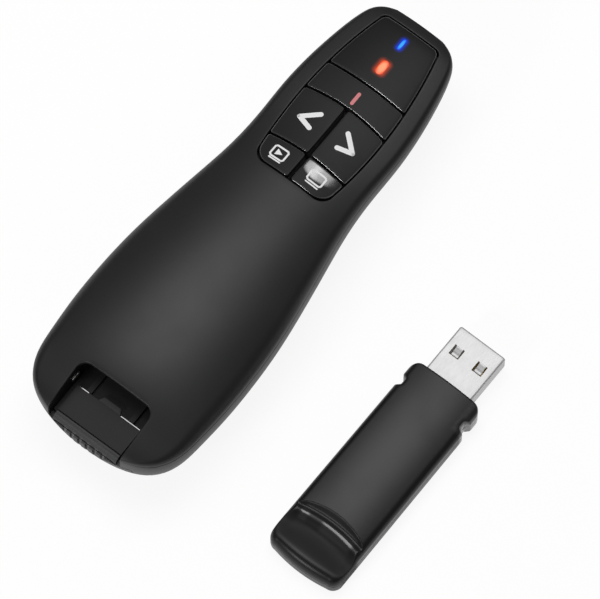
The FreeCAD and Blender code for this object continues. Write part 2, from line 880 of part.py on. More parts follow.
def strip(points, thickness, width, y):
    """Bent metal strip: plates along a line in the XZ plane that run into each other at the bends."""
    pieces = []
    for (x0, z0), (x1, z1) in zip(points, points[1:]):
        length = math.hypot(x1 - x0, z1 - z0)
        ux, uz = (x1 - x0) / length * thickness / 2, (z1 - z0) / length * thickness / 2
        start = (x0 - ux + uz, z0 - uz - ux)
        steps = [(x1 + ux + uz, z1 + uz - ux), (x1 + ux - uz, z1 + uz + ux), (x0 - ux - uz, z0 - uz + ux)]
        pieces.append(side_prism(start, steps, width, y))
    return fuse_all(pieces)


def battery_leaves():
    """Two sprung leaves at the tail end, each bearing on the end of a cell."""
    x0, x1 = compartment_back + contact_plate_thickness, battery_back - contact_plate_thickness
    low = door_side_height + door_fit + contact_plate_thickness
    points = [
        (x0, tray_under - wall),
        (x0, low),
        (x1, battery_axis),
        (x0 + contact_leaf_depth / 3, tray_under - wall),
    ]
    leaves = both_sides(lambda side: strip(points, contact_plate_thickness, contact_leaf_width,
                                           side * battery_side))
    return Part.makeCompound(leaves)


def main_board():
    board = follow_prism(head_back + door_fit, head_front - 2 * door_fit, board_inset, board_under,
                         board_top)
    notch = box(laser_back - 2 * door_fit, head_front, -laser_radius - 2 * door_fit,
                laser_radius + 2 * door_fit, board_under - overrun, board_top + overrun)
    return board.cut(notch)


def switch_bodies():
    solids = []
    for x, y in key_places.values():
        body = middle_box(x - switch_size / 2, x + switch_size / 2, switch_size, board_top, switch_top, y)
        floor = switch_top - plunger_depth - key_travel - key_float
        well = square_post(plunger_width + 2 * key_fit, x, y, floor, switch_top + overrun)
        solids.append(body.cut(well))
    return Part.makeCompound(solids)


def plunger(name):
    x, y = key_places[name]
    return square_post(plunger_width, x, y, switch_top - plunger_depth, plunger_top)


def key_carrier():
    """Plate under the keys on a skirt that stands on the ledge of the bottom cover."""
    back, front = head_back + 2 * door_fit, head_front - 2 * door_fit
    block = follow_prism(back, front, carrier_inset, ledge_height, carrier_top)
    hollow = follow_prism(back + carrier_skirt_wall, front - carrier_skirt_wall,
                          carrier_inset + carrier_skirt_wall, ledge_height - overrun, carrier_under)
    relief = middle_box(laser_front - 2 * carrier_skirt_wall, head_front, 2 * laser_radius + wall,
                        ledge_height - overrun, carrier_under)
    holes = [
        square_post(stem_width + 2 * key_fit, x, y, carrier_under - overrun, carrier_top + overrun)
        for x, y in key_places.values()
    ]
    return block.cut([hollow, relief] + holes)


def key(name, row, side):
    """Key cap that continues the crown, hollow below, with a stem down to its switch."""
    x, y = key_places[name]
    top = parting_height + crown_height
    slab = crown_slab(key_rise, field_wide_half, key_under, field_back - overrun, field_front + overrun)
    cap = slab.common(key_region(row, side, 0, key_under - overrun, top))
    ceiling = cap_edge_height(cap) - key_wall
    hollow = cap_hollow(cap, key_under, ceiling)
    stem = square_post(stem_width, x, y, plunger_top, ceiling + key_wall / 2)
    return cap.cut(hollow).fuse(stem).removeSplitter()


def cap_hollow(cap, low, ceiling):
    """Square-cornered hollow inside a cap's outline, open below."""
    rim = cap.slice(Vector(0, 0, 1), (low + ceiling) / 2)[0].BoundBox
    inset = 2 * key_wall
    return box(rim.XMin + inset, rim.XMax - inset, rim.YMin + inset, rim.YMax - inset, low - overrun,
               ceiling)


def cap_edge_height(cap):
    """Lowest height of a cap's upper rim, at its outer front corner."""
    bounds = cap.BoundBox
    radius, centre = crown_arc(min(bounds.XMax, nose_x))
    reach = max(abs(bounds.YMin), abs(bounds.YMax))
    return centre + math.sqrt((radius + key_rise) ** 2 - reach ** 2)


def light_slot(x, length, width, z0, z1):
    return middle_box(x - length / 2, x + length / 2, width, z0, z1)


def panel_top():
    return crown_slab(panel_rise, field_wide_half, carrier_top, panel_edge - 2 * overrun,
                      field_front + overrun)


def led_panel():
    top = parting_height + crown_height
    block = panel_top().common(key_region("panel", 0, 0, carrier_top - overrun, top))
    pocket = cap_hollow(block, carrier_top, carrier_top + panel_pocket_height)
    slots = [light_slot(*slot, carrier_top, top) for slot in light_slots()]
    return block.cut([pocket] + slots)


def light_slots():
    return [
        (link_light_place, link_slot_length, link_slot_width),
        (laser_light_place, laser_slot_length, laser_slot_width),
    ]


def light_pipe(index):
    slot = light_slots()[index]
    return panel_top().common(light_slot(*slot, light_top, parting_height + crown_height))


def light_board():
    x0 = laser_light_place - laser_slot_length / 2
    x1 = field_front - field_gap - 2 * key_wall - 2 * key_fit
    return middle_box(x0, x1, light_board_width, carrier_top, carrier_top + light_board_thickness)


def light_chip(x):
    return middle_box(x - light_length / 2, x + light_length / 2, light_width,
                      carrier_top + light_board_thickness, light_top)


def laser_module():
    tube = rod(laser_radius, laser_back, laser_front, 0, laser_axis)
    lens_back = laser_front - lens_setback - lens_thickness
    seat = rod(laser_bore, lens_back, laser_front + overrun, 0, laser_axis)
    return tube.cut(seat)


def laser_lens():
    front = laser_front - lens_setback
    return rod(laser_bore, front - lens_thickness, front, 0, laser_axis)


def laser_window():
    return rod(window_radius, head_front, head_front + window_thickness, 0, laser_axis)


def board_chips():
    """Radio chip under the board, in the channel, and the crystal on top of it."""
    chip = square_post(chip_size, chip_place, 0, board_under - chip_height, board_under)
    crystal = middle_box(crystal_place - crystal_width / 2, crystal_place + crystal_width / 2,
                         crystal_length, board_top, board_top + crystal_height)
    return chip, crystal


def bay_catches():
    """Two small steel leaves let into the side walls of the bay near its mouth."""
    return Part.makeCompound(both_sides(catch_leaf))


def place_receiver(shape):
    """Lay a receiver piece, drawn with its rear end at the origin, on the table beside the handset."""
    placed = shape.copy()
    placed.rotate(Vector(0, 0, 0), Vector(0, 0, 1), receiver_turn_degrees)
    placed.translate(Vector(receiver_rear_place, receiver_side_place, 0))
    return placed


def receiver_outline(inset, z0, z1):
    """Tapered plan with a bowed rear end, round corners and a finger notch on each side."""
    rear, front = inset, receiver_length - inset
    rear_half, front_half = receiver_width / 2 - inset, receiver_front_width / 2 - inset
    corner = receiver_corner - inset
    turn = corner * (1 - math.sqrt(0.5))
    bow = receiver_bow
    steps = [
        (front - corner, front_half),
        ((front - turn, front_half - turn), (front, front_half - corner)),
        (front, corner - front_half),
        ((front - turn, turn - front_half), (front - corner, -front_half)),
        (rear + bow + corner, -rear_half),
        ((rear + bow + turn, turn - rear_half), (rear + bow, corner - rear_half)),
        ((rear, 0), (rear + bow, rear_half - corner)),
        ((rear + bow + turn, rear_half - turn), (rear + bow + corner, rear_half)),
    ]
    return plan_prism((rear + bow + corner, rear_half), steps, z0, z1)


def receiver_notches():
    cuts = []
    x1 = receiver_length - receiver_notch_setback
    x0 = x1 - receiver_notch_length
    slope = receiver_notch_depth / 2
    for side in (1, -1):
        edge = side * (receiver_front_width / 2 - receiver_notch_depth)
        out = side * (receiver_width / 2 + overrun)
        steps = [(x1 - slope, edge), (x1 + overrun, out), (x0 - overrun, out), (x0 + slope, edge)]
        cuts.append(plan_prism((x0 + slope, edge), steps, 0, receiver_height + overrun))
    return cuts


def receiver_crown():
    """Upper half of the receiver: flat sides under a three-centred arch."""
    spring = receiver_height - receiver_crown_rise
    half = receiver_width / 2
    arch = Part.Face(arch_wire(0, half, receiver_crown_rise, receiver_shoulder, spring))
    low = box(0, receiver_length, -half, half, receiver_base_height, spring)
    return arch.extrude(Vector(receiver_length, 0, 0)).fuse(low).removeSplitter()


def thumb_recess():
    """Scoop for the thumb: concave slope from the rear, a ridge and a steep front wall."""
    top = receiver_height
    low = (thumb_start + thumb_ridge) / 2
    ridge = (thumb_ridge, top - thumb_ridge_depth)
    steps = [
        ((low, top - thumb_depth), ridge),
        (thumb_end, top),
        (thumb_end, top + overrun),
        (thumb_start - overrun, top + overrun),
        (thumb_start - overrun, top - thumb_ridge_depth / 2),
        (thumb_start, top - thumb_ridge_depth),
    ]
    return side_prism((thumb_start, top - thumb_ridge_depth), steps, 2 * receiver_width)


def rear_round():
    """Rounds the top of the receiver's rear end down to the seam."""
    top = receiver_height - thumb_ridge_depth / 2
    low = receiver_base_height
    reach = thumb_start
    turn = math.sqrt(0.5)
    steps = [
        ((reach - reach * turn, low + (top - low) * turn), (reach, top)),
        (reach, top + 2 * overrun),
        (-overrun, top + 2 * overrun),
        (-overrun, low),
    ]
    return side_prism((0, low), steps, 2 * receiver_width)


def receiver_body():
    block = receiver_outline(0, receiver_base_height, receiver_height + overrun).common(receiver_crown())
    return block.cut(receiver_notches() + [thumb_recess(), rear_round()])


def receiver_cavity(z0, z1):
    inset = receiver_wall
    x0 = thumb_end + receiver_wall
    return box(x0, receiver_length - 2 * inset, inset * 2 - receiver_front_width / 2,
               receiver_front_width / 2 - inset * 2, z0, z1)


def plug_block(grow, x1):
    x0 = receiver_length - plug_root
    half = plug_height / 2
    middle = receiver_height / 2
    return middle_box(x0, x1, plug_width + 2 * grow, middle - half - grow, middle + half + grow)


def receiver_top_cover():
    top = receiver_height - receiver_wall
    cavity = receiver_cavity(receiver_base_height - overrun, top - receiver_wall / 2)
    return receiver_body().cut([cavity, plug_block(0, receiver_length + overrun)])


def receiver_bottom_cover():
    block = receiver_outline(0, 0, receiver_base_height)
    cavity = receiver_cavity(receiver_wall, receiver_base_height + overrun)
    return block.cut(receiver_notches() + [cavity, plug_block(0, receiver_length + overrun)])


def usb_shell():
    tip = receiver_length + plug_length
    shell = plug_block(0, tip)
    hollow = plug_block(-plug_wall, tip + overrun).common(
        box(receiver_length - plug_root + plug_wall, tip + overrun, -plug_width, plug_width, 0,
            receiver_height))
    windows = []
    for side in (1, -1):
        x = tip - plug_window_setback
        windows.append(middle_box(x - plug_window / 2, x + plug_window / 2, plug_window, receiver_height / 2,
                                  receiver_height, side * plug_window_pitch / 2))
    return shell.cut([hollow] + windows)


def tongue_floor():
    return receiver_height / 2 - plug_height / 2 + plug_wall


def usb_tongue():
    low = tongue_floor()
    return middle_box(receiver_length - plug_root + plug_wall, receiver_length + plug_length - plug_wall,
                      plug_width - 2 * plug_wall, low, low + tongue_thickness)


def usb_contacts():
    low = tongue_floor() + tongue_thickness
    strips = []
    for i in range(4):
        y = (i - 1.5) * contact_pitch
        strips.append(middle_box(receiver_length, receiver_length + plug_length - 3 * plug_wall,
                                 contact_width, low, low + contact_thickness, y))
    return Part.makeCompound(strips)


def receiver_board():
    x0 = thumb_end + 2 * receiver_wall
    width = receiver_front_width - 6 * receiver_wall
    return middle_box(x0, receiver_length - plug_root, width, receiver_wall,
                      receiver_wall + receiver_board_thickness)


def receiver_chip():
    x = (thumb_end + receiver_length) / 2
    low = receiver_wall + receiver_board_thickness
    return middle_box(x - receiver_chip_size / 2, x + receiver_chip_size / 2, receiver_chip_size, low,
                      low + receiver_chip_height)


def export(name, shape):
    shape.exportStep("parts/" + name + ".step")


chip_shape, crystal_shape = board_chips()
handset = {
    "top_cover": top_cover(),
    "bottom_cover": bottom_cover(),
    "battery_door": battery_door(),
    "led_panel": led_panel(),
    "link_light_pipe": light_pipe(0),
    "laser_light_pipe": light_pipe(1),
    "light_board": light_board(),
    "link_light": light_chip(link_light_place),
    "laser_light": light_chip(laser_light_place),
    "laser_button": key("laser", "laser", 0),
    "previous_button": key("previous", "arrow", 1),
    "next_button": key("next", "arrow", -1),
    "slideshow_button": key("slideshow", "small", 1),
    "blank_button": key("blank", "small", -1),
    "key_carrier": key_carrier(),
    "main_board": main_board(),
    "switch_bodies": switch_bodies(),
    "radio_chip": chip_shape,
    "crystal": crystal_shape,
    "laser_module": laser_module(),
    "laser_lens": laser_lens(),
    "laser_window": laser_window(),
    "power_switch": power_switch(),
    "power_knob": power_knob(),
    "receiver_tray": receiver_tray(),
    "bay_sill": bay_sill(),
    "bay_catches": bay_catches(),
    "battery_left": battery(1, True),
    "battery_right": battery(-1, False),
    "battery_link": battery_link(),
    "battery_leaves": battery_leaves(),
}
for key_name in key_places:
    handset[key_name + "_plunger"] = plunger(key_name)
receiver = {
    "receiver_top_cover": receiver_top_cover(),
    "receiver_bottom_cover": receiver_bottom_cover(),
    "usb_shell": usb_shell(),
    "usb_tongue": usb_tongue(),
    "usb_contacts": usb_contacts(),
    "receiver_board": receiver_board(),
    "receiver_chip": receiver_chip(),
}
for node, solid in handset.items():
    export(node, solid)
for node, solid in receiver.items():
    export(node, place_receiver(solid))
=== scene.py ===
"""Looks of a wireless presentation clicker and its USB receiver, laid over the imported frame."""
import json
import math
from functools import partial

import bmesh
import bpy
import numpy as np
from bpy.props import FloatProperty, FloatVectorProperty, PointerProperty
from mathutils import Matrix


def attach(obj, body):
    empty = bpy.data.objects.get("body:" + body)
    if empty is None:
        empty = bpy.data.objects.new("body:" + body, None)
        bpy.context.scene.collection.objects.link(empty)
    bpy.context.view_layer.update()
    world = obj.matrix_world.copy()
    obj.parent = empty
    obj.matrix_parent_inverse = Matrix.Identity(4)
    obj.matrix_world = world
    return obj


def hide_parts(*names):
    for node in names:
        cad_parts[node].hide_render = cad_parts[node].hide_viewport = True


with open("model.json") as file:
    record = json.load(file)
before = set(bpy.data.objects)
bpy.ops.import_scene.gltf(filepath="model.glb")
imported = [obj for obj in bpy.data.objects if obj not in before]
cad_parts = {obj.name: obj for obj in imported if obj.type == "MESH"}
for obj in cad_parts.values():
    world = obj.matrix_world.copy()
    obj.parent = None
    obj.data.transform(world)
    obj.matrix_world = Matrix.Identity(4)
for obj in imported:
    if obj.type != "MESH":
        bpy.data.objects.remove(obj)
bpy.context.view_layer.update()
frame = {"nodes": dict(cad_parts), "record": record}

bl_info = {
    "name": "Presentation clicker",
    "version": (1, 0, 0),
    "blender": (4, 5, 0),
    "location": "3D View > Sidebar > Clicker",
    "description": "Moulded shells, sprung keys, lit panel and stowable receiver of a presentation clicker",
    "category": "Object",
}

MM = 0.001

# Outline, crown and belly of the handset: shares of half its length and of a width or height
plan_shares = [
    (-1.0, 0.324), (-0.975, 0.585), (-0.93, 0.79), (-0.868, 0.904), (-0.75, 0.968),
    (-0.601, 0.998), (-0.464, 1.0), (-0.3, 0.975), (-0.12, 0.91), (0.06, 0.827),
    (0.22, 0.76), (0.38, 0.738), (0.52, 0.742), (0.66, 0.716), (0.8, 0.656),
    (0.9, 0.59), (0.96, 0.51), (0.988, 0.407), (1.0, 0.314),
]
crown_shares = [
    (-1.0, 0.12), (-0.985, 0.21), (-0.945, 0.34), (-0.86, 0.53), (-0.77, 0.74),
    (-0.68, 0.88), (-0.55, 0.97), (-0.43, 1.0), (-0.172, 0.947), (0.086, 0.776),
    (0.344, 0.566), (0.43, 0.505), (0.601, 0.455), (0.773, 0.395), (0.893, 0.33),
    (0.962, 0.25), (1.0, 0.16),
]
belly_shares = [
    (-1.0, 0.4), (-0.985, 0.56), (-0.955, 0.75), (-0.91, 0.9), (-0.85, 0.98),
    (-0.79, 1.0), (-0.5, 1.0), (-0.2, 1.0), (0.07, 1.0), (0.17, 0.98),
    (0.3, 0.9), (0.45, 0.81), (0.62, 0.75), (0.79, 0.71), (0.89, 0.66),
    (0.955, 0.57), (0.985, 0.47), (1.0, 0.38),
]
shoulder_share = 0.55
belly_spread_share = 0.6875
level_start, level_end = -0.79, 0.09
# Places along the head as shares of half the length, and half widths as shares of half the width
place_shares = {
    "field_front": 0.957, "field_back": 0.208, "field_wide_place": 0.464, "panel_edge": 0.682,
    "laser_edge": 0.5636, "arrow_edge": 0.33, "arrow_switch": 0.438, "laser_switch": 0.6185,
    "small_switch": 0.268,
}
width_shares = {
    "field_front_half": 0.3725, "field_wide_half": 0.522, "field_back_half": 0.4755,
    "arrow_side": 0.25, "small_side": 0.245,
}
# Lengths and places in millimetres, and the counts and colour that go with them
lip_width = 0.14
key_gap, key_corner, split_half = 0.25, 0.55, 0.5
row_bows, row_reach = {"panel": 0.5, "laser": 1.2, "arrow": 0.9}, 11.65
row_above = {"laser": "panel", "arrow": "laser", "small": "arrow"}
link_middle, laser_middle = 51.75, 44.9
mark_rise, stem_width, stem_end, key_floor = 0.02, 3.2, 15.1, 17.3
door_half, door_top, door_head, door_gap = 11.7, 5.4, -1.2, 0.15
tail_wall_front, tail_wall_top, mouth_low = -54.8, 12.3, 12.6
slot_back, slot_front, slot_high, slot_low = 41.65, 46.35, 12.95, 10.65
tunnel_end, tunnel_spring, tunnel_rise, tunnel_shoulder = -6.4, 18.5, 2.8, 2.0
bay_wall = 0.45
sill_round, sill_top, sill_half = 1.7, 14.3, 8.3
receiver_seam, seam_inset, base_round = 3.0, 0.12, 0.6
window_in, window_out, window_near, window_far = 1.8, 4.3, 3.95, 6.45
groove_pitch, groove_reach, groove_half, groove_depth = 2.0, 6.0, 0.46, 0.5
middle_columns = 33
white = (1, 1, 1, 1)


def length(name, text, millimetres):
    return FloatProperty(name=name, description=text, default=millimetres * MM, subtype="DISTANCE",
                         unit="LENGTH", precision=5)


def tint(name, text, colour):
    return FloatVectorProperty(name=name, description=text, default=colour, size=3, subtype="COLOR",
                               min=0, max=1)


class ClickerSizes(bpy.types.PropertyGroup):
    body_length: length("Body length", "Length of the handset from tail to nose", 116.4)
    body_width: length("Body width", "Width of the handset across the palm", 40.8)
    parting_height: length("Parting height", "Height of the seam between the covers", 16.5)
    crown_height: length("Crown height", "Rise of the top cover above the seam", 7.6)
    front_corner: length("Key field front corner", "Radius of the field's front corners", 1.5)
    back_corner: length("Key field back corner", "Radius of the field's rear corners", 3.2)
    rim_round: length("Rim round", "Radius of the rounded rims round the key field and the bay", 0.28)
    key_round: length("Key round", "Radius of the rounded edges of the keys", 0.3)
    key_rise: length("Key rise", "Height of the keys over the crown", 0.2)
    panel_rise: length("Panel rise", "Height of the lit panel over the crown", 0.1)
    bay_half: length("Bay half width", "Half width of the receiver bay", 9.45)
    bay_front: length("Bay front", "Front edge of the mouth of the bay", -45.6)
    bay_corner: length("Bay corner", "Radius of the front corners of the mouth of the bay", 2.2)
    receiver_length: length("Receiver length", "Length of the receiver without its plug", 51.0)
    receiver_width: length("Receiver width", "Width of the receiver at its rear", 18.5)
    receiver_height: length("Receiver height", "Height of the receiver", 6.8)
    plug_width: length("Plug width", "Width of the plug's metal shell", 12.0)
    plug_height: length("Plug height", "Height of the plug's metal shell", 4.5)
    plug_length: length("Plug length", "Length of the plug's metal shell", 11.75)


class ClickerFinishes(bpy.types.PropertyGroup):
    shell_colour: tint("Shell", "Moulded plastic of the covers", (0.006, 0.006, 0.0061))
    key_colour: tint("Keys", "Moulded plastic of the keys", (0.019, 0.019, 0.0193))
    panel_colour: tint("Panel", "Smooth plastic of the lit panel", (0.015, 0.015, 0.0153))
    receiver_colour: tint("Receiver", "Satin plastic of the receiver", (0.005, 0.005, 0.0051))
    inner_colour: tint("Inside", "Plastic inside the bay and under the keys", (0.017, 0.017, 0.017))
    mark_colour: tint("Marks", "Printed marks on the keys", (0.93, 0.93, 0.93))
    laser_mark_colour: tint("Laser mark", "Printed line on the laser key", (0.72, 0.24, 0.25))
    link_colour: tint("Link light", "Light of the link window", (0.03, 0.38, 1.0))
    laser_colour: tint("Laser light", "Light of the laser window", (1.0, 0.35, 0.17))
    steel_colour: tint("Plug steel", "Plated sheet steel of the plug", (0.60, 0.60, 0.60))


def math_step(operation, swapped=False):
    """Operator that adds a Math node; a swapped one puts the other value first."""
    def step(self, other=0.0):
        pair = (other, self) if swapped else (self, other)
        return self.paint.add("ShaderNodeMath", {"operation": operation}, dict(enumerate(pair)))
    return step


class Value:
    """A node's output in an expression; each operation adds a Math node."""

    def __init__(self, paint, socket):
        self.paint, self.socket = paint, socket

    __add__ = __radd__ = math_step("ADD")
    __sub__, __rsub__ = math_step("SUBTRACT"), math_step("SUBTRACT", True)
    __mul__ = __rmul__ = math_step("MULTIPLY")
    __truediv__, __pow__ = math_step("DIVIDE"), math_step("POWER")
    above, below, size = math_step("MAXIMUM"), math_step("MINIMUM"), math_step("ABSOLUTE")


class Paint:
    """One material, built from nodes."""

    def __init__(self, name):
        self.material = bpy.data.materials.new(name)
        self.material.use_nodes = True
        self.tree = self.material.node_tree
        self.tree.nodes.clear()
        self.surface = self.tree.nodes.new("ShaderNodeBsdfPrincipled")
        self.output = self.tree.nodes.new("ShaderNodeOutputMaterial")
        self.tree.links.new(self.surface.outputs["BSDF"], self.output.inputs["Surface"])

    def add(self, kind, settings, values, out=0):
        """A node with its settings made first, then its sockets set or linked."""
        node = self.tree.nodes.new(kind)
        for key, value in settings.items():
            if key == "stops":
                self.ramp(node.color_ramp, value)
            else:
                setattr(node, key, value)
        for key, value in values.items():
            self.feed(node.inputs[key], value)
        return Value(self, node.outputs[out])

    def ramp(self, ramp, stops):
        while len(ramp.elements) < len(stops):
            ramp.elements.new(1)
        for element, (place, shade) in zip(ramp.elements, stops):
            element.position = place
            element.color = (shade, shade, shade, 1) if isinstance(shade, (int, float)) else (*shade, 1)

    def feed(self, socket, value):
        if isinstance(value, Value):
            self.tree.links.new(value.socket, socket)
        else:
            socket.default_value = value

    def set(self, **values):
        """Sockets of the surface shader, with spaces written as underlines."""
        for key, value in values.items():
            self.feed(self.surface.inputs[key.replace("_", " ")], value)

    def place(self):
        return self.add("ShaderNodeTexCoord", {}, {}, "Object")

    def axes(self):
        """The three coordinates of the place, in millimetres."""
        scaled = self.add("ShaderNodeVectorMath", {"operation": "SCALE"},
                          {0: self.place(), "Scale": 1 / MM})
        parts = self.tree.nodes.new("ShaderNodeSeparateXYZ")
        self.tree.links.new(scaled.socket, parts.inputs[0])
        return [Value(self, socket) for socket in parts.outputs]

    def noise(self, size, detail=2.0, rough=0.5, where=None):
        """Noise between 0 and 1 whose grains are about size millimetres across."""
        values = {"Vector": where or self.place(), "Scale": 1 / (size * MM)}
        return self.add("ShaderNodeTexNoise", {}, {**values, "Detail": detail, "Roughness": rough})

    def blend(self, share, first, second):
        """Colour between two colours."""
        return self.add("ShaderNodeMix", {"data_type": "RGBA"}, {
            0: share, 6: colour4(first), 7: colour4(second)}, 2)

    def vary(self, share, colour, spread):
        """Colour that a share takes from a little darker to a little paler."""
        return self.blend(share, [c * (1 - spread) for c in colour], [c * (1 + spread) for c in colour])

    def bump(self, height, depth, strength=1.0):
        """Normal from a height, whose full range is depth millimetres."""
        return self.add("ShaderNodeBump", {}, {
            "Height": height, "Distance": depth * MM, "Strength": strength})

    def ease(self, value, low, high):
        """Smooth step of a value from low to high."""
        return self.add("ShaderNodeMapRange", {"interpolation_type": "SMOOTHSTEP"}, {
            "Value": value, "From Min": low, "From Max": high})

    def band(self, value, first, second):
        """1 between two soft edges, each given by the values where it starts and where it is full."""
        return self.ease(value, *first) * self.ease(value, *second)


def colour4(colour):
    return colour if isinstance(colour, Value) else (*tuple(colour)[:3], 1.0)


def natural_spline(t, points, at):
    """Natural cubic spline through points at parameters t: second derivatives come from the three-term
    equations, and each span is the cubic with those values at its ends."""
    step = np.diff(t)
    count = len(t)
    terms = np.zeros((count, count))
    terms[0, 0] = terms[-1, -1] = 1
    inner = np.arange(1, count - 1)
    terms[inner, inner - 1] = step[:-1]
    terms[inner, inner] = 2 * (step[:-1] + step[1:])
    terms[inner, inner + 1] = step[1:]
    slope = np.diff(points, axis=0) / step[:, None]
    right = np.zeros_like(points)
    right[1:-1] = 6 * np.diff(slope, axis=0)
    bend = np.linalg.solve(terms, right)
    k = np.clip(np.searchsorted(t, at) - 1, 0, count - 2)
    after, before, wide = (at - t[k])[:, None], (t[k + 1] - at)[:, None], step[k][:, None]
    return ((bend[k] * before ** 3 + bend[k + 1] * after ** 3) / (6 * wide)
            + (points[k] / wide - bend[k] * wide / 6) * before
            + (points[k + 1] / wide - bend[k + 1] * wide / 6) * after)


def smooth_curve(shares, x_size, y_size):
    """Height over x of a spline through points, with the distance between them as its parameter."""
    points = np.array(shares) * (x_size, y_size)
    t = np.concatenate([[0], np.cumsum(np.hypot(*np.diff(points, axis=0).T))])
    dense = natural_spline(t, points, np.linspace(0, t[-1], 4001))
    return lambda x: np.interp(x, dense[:, 0], dense[:, 1])


def arch_radius(half, rise, shoulder):
    """Radius of the middle arc of a three-centred arch."""
    return ((half - shoulder) ** 2 + rise ** 2 - shoulder ** 2) / (2 * (rise - shoulder))


def arch_sizes(half, rise, shoulder):
    radius = arch_radius(half, rise, shoulder)
    lean = np.arctan2(radius - rise, half - shoulder)
    return radius, lean, half - shoulder


def arch_reach(half, rise, shoulder, y):
    """Distance along the arch from its crown out to y: R asin(y/R), then the shoulder's own turn."""
    radius, lean, side = arch_sizes(half, rise, shoulder)
    middle = radius * np.arcsin(np.clip(y / radius, -1, 1))
    turn = np.arccos(np.clip((y - side) / shoulder, -1, 1))
    outer = radius * (np.pi / 2 - lean) + shoulder * (lean - turn)
    return np.where(y <= side + shoulder * np.cos(lean), middle, outer)


def arch_point(half, rise, shoulder, reach):
    """Place (y, z) at a distance along the arch from its crown: (R sin b, rise - R + R cos b) up to the
    joint, then (side + s cos a, s sin a) on the shoulder. Negative distances mirror y."""
    radius, lean, side = arch_sizes(half, rise, shoulder)
    whole, out = radius * (np.pi / 2 - lean), np.abs(reach)
    turn = lean - np.maximum(out - whole, 0) / shoulder
    b = np.minimum(out, whole) / radius
    y = np.where(out <= whole, radius * np.sin(b), side + shoulder * np.cos(turn))
    z = np.where(out <= whole, rise - radius + radius * np.cos(b), shoulder * np.sin(turn))
    return np.sign(reach) * y, z


def arch_height(half, rise, shoulder, y):
    return arch_point(half, rise, shoulder, arch_reach(half, rise, shoulder, np.abs(y)))[1]


def three_point_circle(a, b, c):
    """Centre and radius of the circle through three points."""
    rows = np.array([[b[0] - a[0], b[1] - a[1]], [c[0] - a[0], c[1] - a[1]]])
    sums = np.array([np.dot(b, b) - np.dot(a, a), np.dot(c, c) - np.dot(a, a)]) / 2
    centre = np.linalg.solve(rows, sums)
    return centre, math.dist(centre, a)


def quarter(centre, radius, start, end, count):
    """Arc of a circle, angles in degrees."""
    a = np.radians(np.linspace(start, end, count))
    return np.stack([centre[0] + radius * np.cos(a), centre[1] + radius * np.sin(a)], 1)


class Form:
    """Outer form of the handset in millimetres, from the sizes and the tables of shares."""

    def __init__(self, sizes):
        for key in ClickerSizes.__annotations__:
            setattr(self, key, getattr(sizes, key) / MM)
        self.nose = self.body_length / 2
        self.seam = self.parting_height
        self.plan = smooth_curve(plan_shares, self.nose, self.body_width / 2)
        self.crown = smooth_curve(crown_shares, self.nose, self.crown_height)
        self.belly = smooth_curve(belly_shares, self.nose, self.seam)
        for shares, whole in ((place_shares, self.nose), (width_shares, self.body_width / 2)):
            for key, share in shares.items():
                setattr(self, key, share * whole)
        self.wide = (self.field_wide_place, self.field_wide_half)
        self.back_side = (self.field_back + self.back_corner, self.field_back_half)
        self.front_side = (self.field_front - self.front_corner, self.field_front_half)
        self.side_centre, self.side_radius = three_point_circle(self.back_side, self.wide, self.front_side)
        self.sill_back = 0.6 - self.nose
        self.sill_joint, self.sill_front = self.sill_back + sill_round, self.sill_back + 8.7

    def arch(self, x):
        rise = self.crown(x)
        return self.plan(x), rise, shoulder_share * rise

    def top(self, x, y):
        """Height of the top cover's surface over a place in plan."""
        return self.seam + arch_height(*self.arch(x), y)

    def crown_top(self, x, y, rise):
        """Height of the crown's middle arc, raised by a small step."""
        half, height, shoulder = self.arch(x)
        radius = arch_radius(half, height, shoulder)
        return self.seam + height - radius + np.sqrt((radius + rise) ** 2 - y ** 2)

    def field_side(self, x):
        """Half width of the key field along its bowed side."""
        reach = np.sqrt(np.maximum(self.side_radius ** 2 - (x - self.side_centre[0]) ** 2, 0))
        return self.side_centre[1] + reach

    def field_outline(self):
        """Left half of the field's outline from the rear end to the front end."""
        back_corner = self.back_side[0] - self.field_back
        front_corner = self.field_front - self.front_side[0]
        x = np.linspace(self.back_side[0], self.front_side[0], 56)[1:-1]
        return np.concatenate([
            quarter((self.back_side[0], self.back_side[1] - back_corner), back_corner, 180, 90, 14),
            np.stack([x, self.field_side(x)], 1),
            quarter((self.front_side[0], self.front_side[1] - front_corner), front_corner, 90, 0, 10),
        ])

    def bay_outline(self, start):
        """Left half of the bay mouth's outline from the tail to its front edge."""
        corner = self.bay_front - self.bay_corner
        x = start + (corner - start) * np.linspace(0, 1, 26)[:-1] ** 1.6
        return np.concatenate([
            np.stack([x, np.full_like(x, self.bay_half)], 1),
            quarter((corner, self.bay_half - self.bay_corner), self.bay_corner, 90, 0, 12),
        ])

    def belly_sizes(self, x):
        """Half width, depth, half width of the level underside and radius of the side arcs."""
        half = self.plan(x)
        level = (x > level_start * self.nose) & (x < level_end * self.nose)
        full = self.seam + 0.05
        depth = np.where(level, full, np.minimum(full, self.belly(x)))
        spread = belly_spread_share * self.body_width / 2 * depth / self.seam
        return half, depth, half - spread, (spread ** 2 + depth ** 2) / (2 * depth)


def outward(path, start, end):
    """Unit normals to the left of a path, with the two end normals given."""
    along = np.gradient(path, axis=0)
    normals = np.stack([-along[:, 1], along[:, 0]], 1)
    normals /= np.linalg.norm(normals, axis=1)[:, None]
    normals[0], normals[-1] = start, end
    return normals


def grid_faces(rows, columns, keep=None, ring=False):
    """Four-cornered faces between neighbours on a grid; a ring also joins its last and first columns."""
    r = np.arange(rows - 1)[:, None]
    c = np.arange(columns if ring else columns - 1)[None, :]
    d = (c + 1) % columns
    quads = np.stack([r * columns + c, r * columns + d, (r + 1) * columns + d, (r + 1) * columns + c], -1)
    return quads[keep] if keep is not None else quads.reshape(-1, 4)


